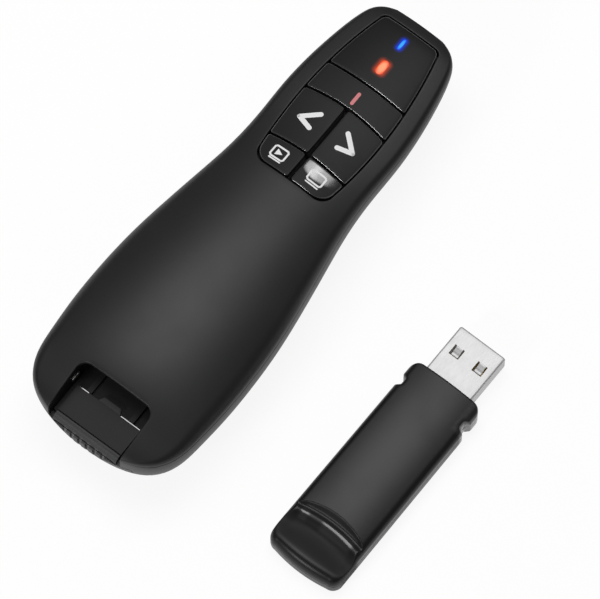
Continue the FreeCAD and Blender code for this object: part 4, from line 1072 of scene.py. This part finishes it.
def key_plastic(name, colour, rough, gloss, sheen=None):
    """Key plastic: fine grain on top, polished where the edge turns down, and a polished patch if one is
    given by its middle, its half sizes and its level."""
    paint = Paint(name)
    mottle, fine = paint.noise(6.0, 2), paint.noise(0.1, 3, 0.6)
    base = paint.vary(mottle, colour, 0.1)
    coat = paint.ease(facing(paint), 0.965, 0.9)
    if sheen:
        x, y, _ = paint.axes()
        (middle_x, middle_y), (half_x, half_y), level = sheen
        away = ((x - middle_x) / half_x) ** 2.0 + ((y - middle_y) / half_y) ** 2.0
        patch = paint.ease(away + (paint.noise(2.6, 2) - 0.5) * 0.5, 1.15, 0.5)
        coat = coat.above(patch * level)
    paint.set(Base_Color=base, Roughness=fine * 0.06 + rough, Normal=paint.bump(fine, 0.004),
              Specular_IOR_Level=gloss, Coat_Weight=coat, Coat_Roughness=0.12, Coat_IOR=2.2)
    return paint.material


def receiver_plastic(name, colour, rough, gloss):
    """Satin plastic of the receiver, polished in the thumb scoop and in the notch on the right."""
    paint = Paint(name)
    x, y, _ = paint.axes()
    ripple = paint.noise(7.0, 2)
    haze = paint.ease(paint.noise(14.0, 4), 0.4, 0.7)
    base = paint.vary(ripple, colour, 0.08)
    along = paint.band(x, (-38.9, -39.4), (-42.0, -41.2))
    middle = paint.band(y, (-48.4, -49.8), (-57.6, -56.4))
    corner = paint.band(y, (-46.0, -45.2), (-43.4, -44.2))
    scoop = along * middle.above(corner)
    notch = paint.ease(x, -7.4, -6.6) * paint.ease(y, -57.4, -58.2)
    worn = paint.band(x, (-41.2, -43.0), (-48.2, -46.4))
    paint.set(Base_Color=base, Roughness=haze * 0.05 + worn * 0.25 + rough,
              Normal=paint.bump(ripple, 0.012), Specular_IOR_Level=gloss,
              Coat_Weight=scoop.above(notch) * 0.6, Coat_Roughness=0.12, Coat_IOR=1.7)
    return paint.material


def moulded_plastic(name, colour, rough, grain, depth, gloss):
    """Moulded plastic: faint mottle in its colour and sheen, and a fine spark-eroded grain."""
    paint = Paint(name)
    mottle = paint.noise(9.0, 3)
    fine = paint.noise(grain, 3, 0.6)
    dust = paint.ease(paint.noise(0.9, 2), 0.68, 0.8)
    base = paint.vary(mottle, colour, 0.12)
    base = paint.blend(dust * 0.25, base, [c * 1.9 + 0.002 for c in colour])
    paint.set(Base_Color=base, Roughness=(mottle - 0.5) * 0.08 + fine * 0.06 + (rough - 0.03),
              Normal=paint.bump(fine, depth), Specular_IOR_Level=gloss)
    return paint.material


def polished_plastic(name, colour, rough, gloss, coat):
    """Polished plastic: faint ripple from moulding, and a sheen that varies with handling."""
    paint = Paint(name)
    ripple = paint.noise(7.0, 2)
    haze = paint.ease(paint.noise(14.0, 4), 0.4, 0.7)
    base = paint.vary(ripple, colour, 0.08)
    paint.set(Base_Color=base, Roughness=haze * 0.06 + rough, Normal=paint.bump(ripple, 0.012),
              Specular_IOR_Level=gloss, Coat_Weight=coat, Coat_Roughness=0.06, Coat_IOR=2.0)
    return paint.material


def printed_ink(name, colour):
    """Screen-printed ink: small thin spots and a slight grain."""
    paint = Paint(name)
    speckle = paint.ease(paint.noise(0.16, 3, 0.65), 0.55, 0.8)
    base = paint.blend(speckle * 0.22, colour, [c * 0.45 for c in colour])
    paint.set(Base_Color=base, Roughness=0.55 + speckle * 0.1, Normal=paint.bump(speckle, 0.01),
              Specular_IOR_Level=0.3)
    return paint.material


def lit_window(name, rim, core, long_half, wide_half, middle):
    """Light pipe: palest along its core, deeper in colour towards its rim."""
    paint = Paint(name)
    x, y, _ = paint.axes()
    across = ((x - middle) / long_half) ** 2.0 + (y / wide_half) ** 2.0
    cloud = (paint.noise(0.5, 2) - 0.5) * 0.3
    paint.set(Base_Color=(*[c * 0.3 for c in rim], 1), Roughness=0.3, Specular_IOR_Level=0.2,
              Emission_Color=paint.blend(paint.ease(across + cloud, 1.05, 0.15), rim, core),
              Emission_Strength=1.0)
    return paint.material


def lit_panel(name, colour, rough, gloss, lights):
    """Panel plastic with a soft glow in its colour round each light."""
    paint = Paint(name)
    x, y, _ = paint.axes()
    ripple = paint.noise(6.0, 2)
    fine = paint.noise(0.12, 3, 0.6)
    glow = (0.0, 0.0, 0.0)
    for middle, long_half, wide_half, spread, level, shade in lights:
        dx = (x - middle).size() - long_half
        dy = y.size() - wide_half
        away = (dx.above(0.0) ** 2.0 + dy.above(0.0) ** 2.0) ** 0.5
        near = (1.0 - (away / spread).below(1.0)) ** 2.0
        glow = paint.blend(near * level, glow, shade)
    paint.set(Base_Color=paint.vary(ripple, colour, 0.08),
              Roughness=rough + fine * 0.05, Normal=paint.bump(fine, 0.004), Specular_IOR_Level=gloss,
              Coat_Weight=paint.ease(facing(paint), 0.965, 0.9), Coat_Roughness=0.12, Coat_IOR=2.2,
              Emission_Color=glow, Emission_Strength=1.0)
    return paint.material


def metal(name, colour, rough, grain):
    """Plated or drawn metal: fine lines along X and faint stains."""
    paint = Paint(name)
    lines = paint.add("ShaderNodeMapping", {}, {"Vector": paint.place(), "Scale": (0.06, 1.0, 1.0)})
    brushed = paint.noise(grain, 3, 0.6, lines)
    stain = paint.noise(3.0, 3)
    base = paint.blend(stain, [c * 0.9 for c in colour], [min(1, c * 1.05) for c in colour])
    paint.set(Base_Color=base, Metallic=1.0, Roughness=rough + brushed * 0.14,
              Normal=paint.bump(brushed, 0.004))
    return paint.material


def board_laminate(name, colour, trace):
    """Circuit board: solder mask over a weave, with lines where tracks run beneath it."""
    paint = Paint(name)
    weave = paint.noise(0.25, 2)
    tracks = paint.add("ShaderNodeTexWave", {"bands_direction": "DIAGONAL"}, {
        "Vector": paint.place(), "Scale": 260.0, "Distortion": 6.0})
    line = paint.ease(tracks, 0.86, 0.93)
    paint.set(Base_Color=paint.blend(line * 0.5, colour, trace), Roughness=0.3 + weave * 0.15,
              Normal=paint.bump(line + weave * 0.3, 0.02))
    return paint.material


def clear_plastic(name, colour, rough):
    """Clear moulded lens with faint flow lines."""
    paint = Paint(name)
    flow = paint.noise(0.8, 2)
    paint.set(Base_Color=paint.blend(flow, colour, [c * 0.94 for c in colour]),
              Roughness=flow * 0.04 + rough, Transmission_Weight=0.85, IOR=1.49,
              Normal=paint.bump(flow, 0.003))
    return paint.material


def cell_wrap(name):
    """Printed film of a cell: plain dark body with a pale band near one end."""
    paint = Paint(name)
    band = paint.ease(paint.axes()[0], -20.0, -19.4)
    haze = paint.noise(2.0, 3)
    base = paint.blend(band, (0.02, 0.022, 0.024), (0.55, 0.5, 0.42))
    paint.set(Base_Color=base, Roughness=0.28 + haze * 0.1, Normal=paint.bump(haze, 0.01), Coat_Weight=0.3)
    return paint.material


materials = {}


def make_materials(finishes):
    shell, key, inner = finishes.shell_colour, finishes.key_colour, tuple(finishes.inner_colour)
    # Painted light: the tray, the tab and the lip get lighter copies of the inside plastic, which lift them
    # where the bay's shade falls and make the lip's round look lit
    tray, tab, lip = [tuple(c * gain for c in inner) for gain in (1.7, 1.9, 1.6)]
    recipes = {
        moulded_plastic: {
            "shell_black": (shell, 0.45, 0.14, 0.012, 0.42),
            "inner_black": (inner, 0.45, 0.14, 0.008, 0.12),
            "tray_black": (tray, 0.6, 0.14, 0.008, 0.05),
            "tab_black": (tab, 0.45, 0.14, 0.008, 0.12),
            "lip_black": (lip, 0.5, 0.12, 0.02, 0.5),
            "knob_grey": ((0.03, 0.03, 0.031), 0.45, 0.12, 0.008, 0.35),
            "switch_black": ((0.012, 0.012, 0.012), 0.4, 0.12, 0.006, 0.4),
            "chip_black": ((0.014, 0.014, 0.015), 0.55, 0.1, 0.01, 0.3),
            "plunger_cream": ((0.55, 0.5, 0.4), 0.4, 0.12, 0.006, 0.4),
            "tongue_white": ((0.75, 0.75, 0.73), 0.45, 0.12, 0.006, 0.4),
        },
        key_plastic: {
            "key_black": (key, 0.34, 0.1),
            "blank_black": (key, 0.34, 0.1, ((17.4, -4.6), (2.2, 4.6), 0.65)),
        },
        lit_panel: {"panel_black": (finishes.panel_colour, 0.3, 0.1, [
            (link_middle, 1.0, 0.15, 1.3, 1.0, (0.0, 0.05, 0.95)),
            (laser_middle, 1.1, 0.6, 1.5, 0.9, (0.9, 0.08, 0.015))])},
        receiver_plastic: {"receiver_black": (finishes.receiver_colour, 0.35, 0.3)},
        polished_plastic: {
            "edge_gloss": (shell, 0.12, 0.5, 0.9),
            "dark_window": ((0.03, 0.004, 0.004), 0.06, 0.5, 0.6),
        },
        lit_window: {
            "blue_light": ((0.0, 0.06, 0.8), finishes.link_colour, 1.5, 0.45, link_middle),
            "orange_light": ((0.75, 0.06, 0.01), finishes.laser_colour, 1.9, 0.95, laser_middle),
        },
        metal: {
            "laser_brass": ((0.72, 0.5, 0.22), 0.25, 0.1),
            "nickel_steel": ((0.66, 0.65, 0.62), 0.22, 0.1),
            "plug_steel": (finishes.steel_colour, 0.5, 0.12),
            "contact_gold": ((0.83, 0.6, 0.25), 0.2, 0.1),
        },
        board_laminate: {"board_green": ((0.01, 0.08, 0.03), (0.03, 0.17, 0.07))},
        clear_plastic: {"clear_lens": ((0.95, 0.95, 0.95), 0.03)},
        cell_wrap: {"cell_skin": ()},
        printed_ink: {
            "mark_ink": (finishes.mark_colour,),
            "laser_ink": (finishes.laser_mark_colour,),
        },
    }
    for make, kinds in recipes.items():
        for name, settings in kinds.items():
            materials[name] = make(name, *settings)


def current_form():
    return Form(bpy.context.scene.clicker_sizes)


class PieceOperator:
    """What the operators share: each makes its pieces and reports that it has."""
    bl_options = {"REGISTER", "UNDO"}

    def execute(self, context):
        self.build(context)
        return {"FINISHED"}


class CLICKER_OT_finishes(PieceOperator, bpy.types.Operator):
    """Make the materials and give the carried-over solids theirs"""
    bl_idname = "clicker.finishes"
    bl_label = "Finishes"

    def build(self, context):
        make_materials(context.scene.clicker_finishes)
        for part in frame["record"]["subparts"]:
            solid = frame["nodes"][part["node"]]
            solid.data.materials.clear()
            # The tray gets the lighter copy of the inside plastic, painted light against the bay's shade
            finish = "tray_black" if part["node"] == "receiver_tray" else part["material_slot"]
            solid.data.materials.append(materials[finish])


class CLICKER_OT_top_cover(PieceOperator, bpy.types.Operator):
    """Mould the top cover with its key field, bay mouth and tunnel"""
    bl_idname = "clicker.top_cover"
    bl_label = "Top cover"

    def build(self, context):
        form = current_form()
        make_piece("top_shell", top_cover_sheets(form), "handset", "shell_black", ["top_cover"], wall=0.4)


class CLICKER_OT_keys(PieceOperator, bpy.types.Operator):
    """Mould the five key caps and the lit panel"""
    bl_idname = "clicker.keys"
    bl_label = "Keys and panel"

    def build(self, context):
        form = current_form()
        caps = [
            ("laser", "laser", 0, (form.laser_switch, 0.0)),
            ("previous", "arrow", 1, (form.arrow_switch, form.arrow_side)),
            ("next", "arrow", -1, (form.arrow_switch, -form.arrow_side)),
            ("slideshow", "small", 1, (form.small_switch, form.small_side)),
            ("blank", "small", -1, (form.small_switch, -form.small_side)),
        ]
        for name, row, side, centre in caps:
            outline = partial(key_distance, form, row, side)
            cap = cap_sheet(form, outline, centre, form.key_rise, key_floor, (stem_width, stem_end))
            make_piece(name + "_cap", [cap], name + "_key", "key_black", [name + "_button"],
                       "blank_black" if name == "blank" else "key_black")
        outline = partial(key_distance, form, "panel", 0)
        panel = [cap_sheet(form, outline, (47.6, 0.0), form.panel_rise, form.seam, None)]
        make_piece("panel_plate", panel, "handset", "panel_black", ["led_panel"])


class CLICKER_OT_marks(PieceOperator, bpy.types.Operator):
    """Print the marks on the keys and set the two light windows in the panel"""
    bl_idname = "clicker.marks"
    bl_label = "Marks and lights"

    def build(self, context):
        form = current_form()
        key_top = partial(form.crown_top, rise=form.key_rise)
        panel_top = partial(form.crown_top, rise=form.panel_rise)
        for body, side in (("previous", 1), ("next", -1)):
            tip = (25.3, 7.0 * side)
            arms = [stroke_sheet(key_top, tip, (x, y * side), 1.1, mark_rise)
                    for x, y in ((28.3, 3.6), (24.3, 3.7))]
            make_piece(body + "_arrow", arms, body + "_key", "key_black", finish="mark_ink")
        play = screen_mark(key_top, 15.7, 5.0, 2.7, 3.4, 0.42, 13.85)
        play.append(triangle_sheet(key_top, [(16.5, 5.8), (14.9, 5.8), (15.7, 4.2)], mark_rise))
        plain_screen = screen_mark(key_top, 15.95, -4.7, 2.6, 3.6, 0.42, 14.05)
        line = [stroke_sheet(key_top, (34.3, 0), (36.9, 0), 0.8, mark_rise)]
        for name, patches, body, ink in (("slideshow_mark", play, "slideshow_key", "mark_ink"),
                                         ("blank_mark", plain_screen, "blank_key", "mark_ink"),
                                         ("laser_line", line, "laser_key", "laser_ink")):
            make_piece(name, patches, body, "key_black", finish=ink)
        for name, middle, length_half, width, node, slot in (
                ("link_window", link_middle, 1.1, 0.75, "link_light_pipe", "blue_light"),
                ("laser_window_light", laser_middle, 0.95, 1.8, "laser_light_pipe", "orange_light")):
            ends = (middle - length_half, 0), (middle + length_half, 0)
            make_piece(name, [stroke_sheet(panel_top, *ends, width, 0.05)], "handset", slot, [node])


class CLICKER_OT_bottom_cover(PieceOperator, bpy.types.Operator):
    """Mould the bottom cover and the pad in the mouth of the bay"""
    bl_idname = "clicker.bottom_cover"
    bl_label = "Bottom cover"

    def build(self, context):
        form = current_form()
        make_piece("bottom_shell", bottom_cover_sheets(form), "handset", "shell_black",
                   ["bottom_cover"], wall=0.2)
        # The tab and the lip get lighter copies of the inside plastic, painted light against the bay's shade
        for name, sheets, finish in (("sill_pad", pad_sheets, "inner_black"),
                                     ("sill_tab", tab_sheets, "tab_black"),
                                     ("sill_lip", lip_sheets, "lip_black"),
                                     ("pad_edges", pad_edge_sheets, "edge_gloss")):
            make_piece(name, sheets(form), "handset", "inner_black", ["bay_sill"], finish)
        make_piece("bay_walls", bay_wall_sheets(form), "handset", "shell_black", ["bottom_cover"])


class CLICKER_OT_door(PieceOperator, bpy.types.Operator):
    """Mould the battery door with its ribbed tail wall"""
    bl_idname = "clicker.door"
    bl_label = "Battery door"

    def build(self, context):
        form = current_form()
        make_piece("door_shell", door_sheets(form), "door", "shell_black", ["battery_door"], wall=0.3)


class CLICKER_OT_receiver(PieceOperator, bpy.types.Operator):
    """Mould the receiver's two covers and fold its plug"""
    bl_idname = "clicker.receiver"
    bl_label = "Receiver"

    def build(self, context):
        form = current_form()
        make_piece("receiver_crown", receiver_top_sheets(form), "handset", "receiver_black",
                   ["receiver_top_cover"], crease=50)
        make_piece("receiver_base", receiver_base_sheets(form), "handset", "receiver_black",
                   ["receiver_bottom_cover"])
        make_piece("plug_shell", plug_sheets(form), "handset", "plug_steel", ["usb_shell"], wall=0.3)
        make_piece("plug_springs", spring_sheets(form), "handset", "plug_steel", wall=0.2)


class CLICKER_OT_stage(PieceOperator, bpy.types.Operator):
    """Lay the pale floor and set the camera, the lamps and the surroundings"""
    bl_idname = "clicker.stage"
    bl_label = "Stage"

    def build(self, context):
        lay_floor()
        set_surroundings()
        set_lamps()
        set_camera()


def lay_floor():
    """Wide sheet just under the table height that shows almost white and still takes the shadow."""
    reach, below, glow_strength, glow_share = 3.0, 0.0002, 1.04, 0.86
    mesh = bpy.data.meshes.new("floor")
    corners = [(-reach, -reach, -below), (reach, -reach, -below), (reach, reach, -below),
               (-reach, reach, -below)]
    mesh.from_pydata(corners, [], [(0, 1, 2, 3)])
    floor = new_object("floor", mesh)
    paint = Paint("floor_white")
    mottle = paint.noise(60.0, 2)
    paint.set(Base_Color=paint.blend(mottle, (0.86, 0.86, 0.86), (0.9, 0.9, 0.9)), Roughness=0.9,
              Specular_IOR_Level=0.1)
    camera, glossy, through = [paint.add("ShaderNodeLightPath", {}, {}, f"Is {ray} Ray")
                               for ray in ("Camera", "Glossy", "Transmission")]
    seen = (camera + glossy + through).below(1.0)
    glow = paint.add("ShaderNodeEmission", {}, {"Color": white, "Strength": glow_strength})
    lit = Value(paint, paint.surface.outputs["BSDF"])
    mixed = paint.add("ShaderNodeMixShader", {}, {0: seen * glow_share, 1: lit, 2: glow})
    paint.feed(paint.output.inputs["Surface"], mixed)
    mesh.materials.append(paint.material)


def set_surroundings():
    """Dim white room for the light, behind a full white that only the camera sees."""
    room_strength = 0.2
    world = bpy.data.worlds.new("studio")
    bpy.context.scene.world = world
    world.use_nodes = True
    tree = world.node_tree
    tree.nodes.clear()
    output, path, mix, room, seen = [tree.nodes.new("ShaderNode" + kind) for kind in (
        "OutputWorld", "LightPath", "MixShader", "Background", "Background")]
    for node, strength in ((room, room_strength), (seen, 1.0)):
        node.inputs["Color"].default_value = white
        node.inputs["Strength"].default_value = strength
    for source, socket in ((path.outputs["Is Camera Ray"], mix.inputs[0]), (room.outputs[0], mix.inputs[1]),
                           (seen.outputs[0], mix.inputs[2]), (mix.outputs[0], output.inputs["Surface"])):
        tree.links.new(source, socket)


def turned(place, right, up, back):
    """Matrix of an object at a place whose own axes point right, up and back."""
    turn = Matrix(np.stack([right, up, back], 1).tolist()).to_4x4()
    return Matrix.Translation(place) @ turn


def set_lamps():
    """Soft boxes: one high over the head end, one low beyond the tail for the edges that face it, and a
    small one beyond the nose."""
    add_lamp("overhead", (0.14, 0.145, 0.77), (-0.01, -0.01, 0.02), 0.55, 0.42, 3.3)
    add_lamp("tail_side", (-0.86, 0.13, 0.46), (0.02, 0.0, 0.01), 0.17, 0.2, 2.0)
    add_lamp("nose_side", (0.39, -0.01, 0.71), (0.02, 0.0, 0.02), 0.16, 0.16, 0.28)


def add_lamp(name, place, target, width, height, power):
    light = bpy.data.lights.new(name, "AREA")
    light.shape = "RECTANGLE"
    light.size, light.size_y = width, height
    light.energy = power
    away = np.array(place) - np.array(target)
    away = away / np.linalg.norm(away)
    side = np.cross((0, 0, 1), away)
    side = side / np.linalg.norm(side)
    new_object(name, light).matrix_world = turned(place, side, np.cross(away, side), away)


def set_camera():
    """Camera at the photograph's angle: from the tail's right, high over the table."""
    picture_width, pixels_per_mm = 600, 4.77
    azimuth, lift = math.radians(52.47), math.asin(0.9387)
    right = np.array([math.cos(azimuth), -math.sin(azimuth), 0])
    level = np.array([-math.sin(azimuth), -math.cos(azimuth), 0])
    back = level * math.cos(lift) + np.array([0, 0, math.sin(lift)])
    data = bpy.data.cameras.new("camera")
    data.sensor_width, data.lens, data.clip_end = 36.0, 400.0, 10.0
    target = np.array([-6.34, -17.40, 16.5]) * MM
    distance = data.lens * picture_width / (data.sensor_width * pixels_per_mm) * MM
    camera = new_object("camera", data)
    camera.matrix_world = turned((target + back * distance).tolist(), right, np.cross(back, right), back)
    bpy.context.scene.camera = camera
    bpy.context.scene.view_settings.view_transform = "Standard"


class CLICKER_PT_panel(bpy.types.Panel):
    """Sizes, finishes and the operators in the order in which they run"""
    bl_idname = "CLICKER_PT_panel"
    bl_label = "Presentation clicker"
    bl_space_type = "VIEW_3D"
    bl_region_type = "UI"
    bl_category = "Clicker"

    def draw(self, context):
        layout = self.layout
        for group in (context.scene.clicker_sizes, context.scene.clicker_finishes):
            column = layout.column(align=True)
            for key in type(group).__annotations__:
                column.prop(group, key)
        column = layout.column(align=True)
        for operator in operators:
            column.operator(operator.bl_idname)


operators = (CLICKER_OT_finishes, CLICKER_OT_top_cover, CLICKER_OT_bottom_cover, CLICKER_OT_door,
             CLICKER_OT_keys, CLICKER_OT_marks, CLICKER_OT_receiver, CLICKER_OT_stage)
classes = (ClickerSizes, ClickerFinishes, *operators, CLICKER_PT_panel)


def register():
    for item in classes:
        bpy.utils.register_class(item)
    bpy.types.Scene.clicker_sizes = PointerProperty(type=ClickerSizes)
    bpy.types.Scene.clicker_finishes = PointerProperty(type=ClickerFinishes)


def unregister():
    del bpy.types.Scene.clicker_finishes
    del bpy.types.Scene.clicker_sizes
    for item in reversed(classes):
        bpy.utils.unregister_class(item)


def run_operator(operator):
    family, name = operator.bl_idname.split(".")
    getattr(getattr(bpy.ops, family), name)()


def main():
    register()
    for operator in operators:
        run_operator(operator)


if __name__ == "__main__":
    main()
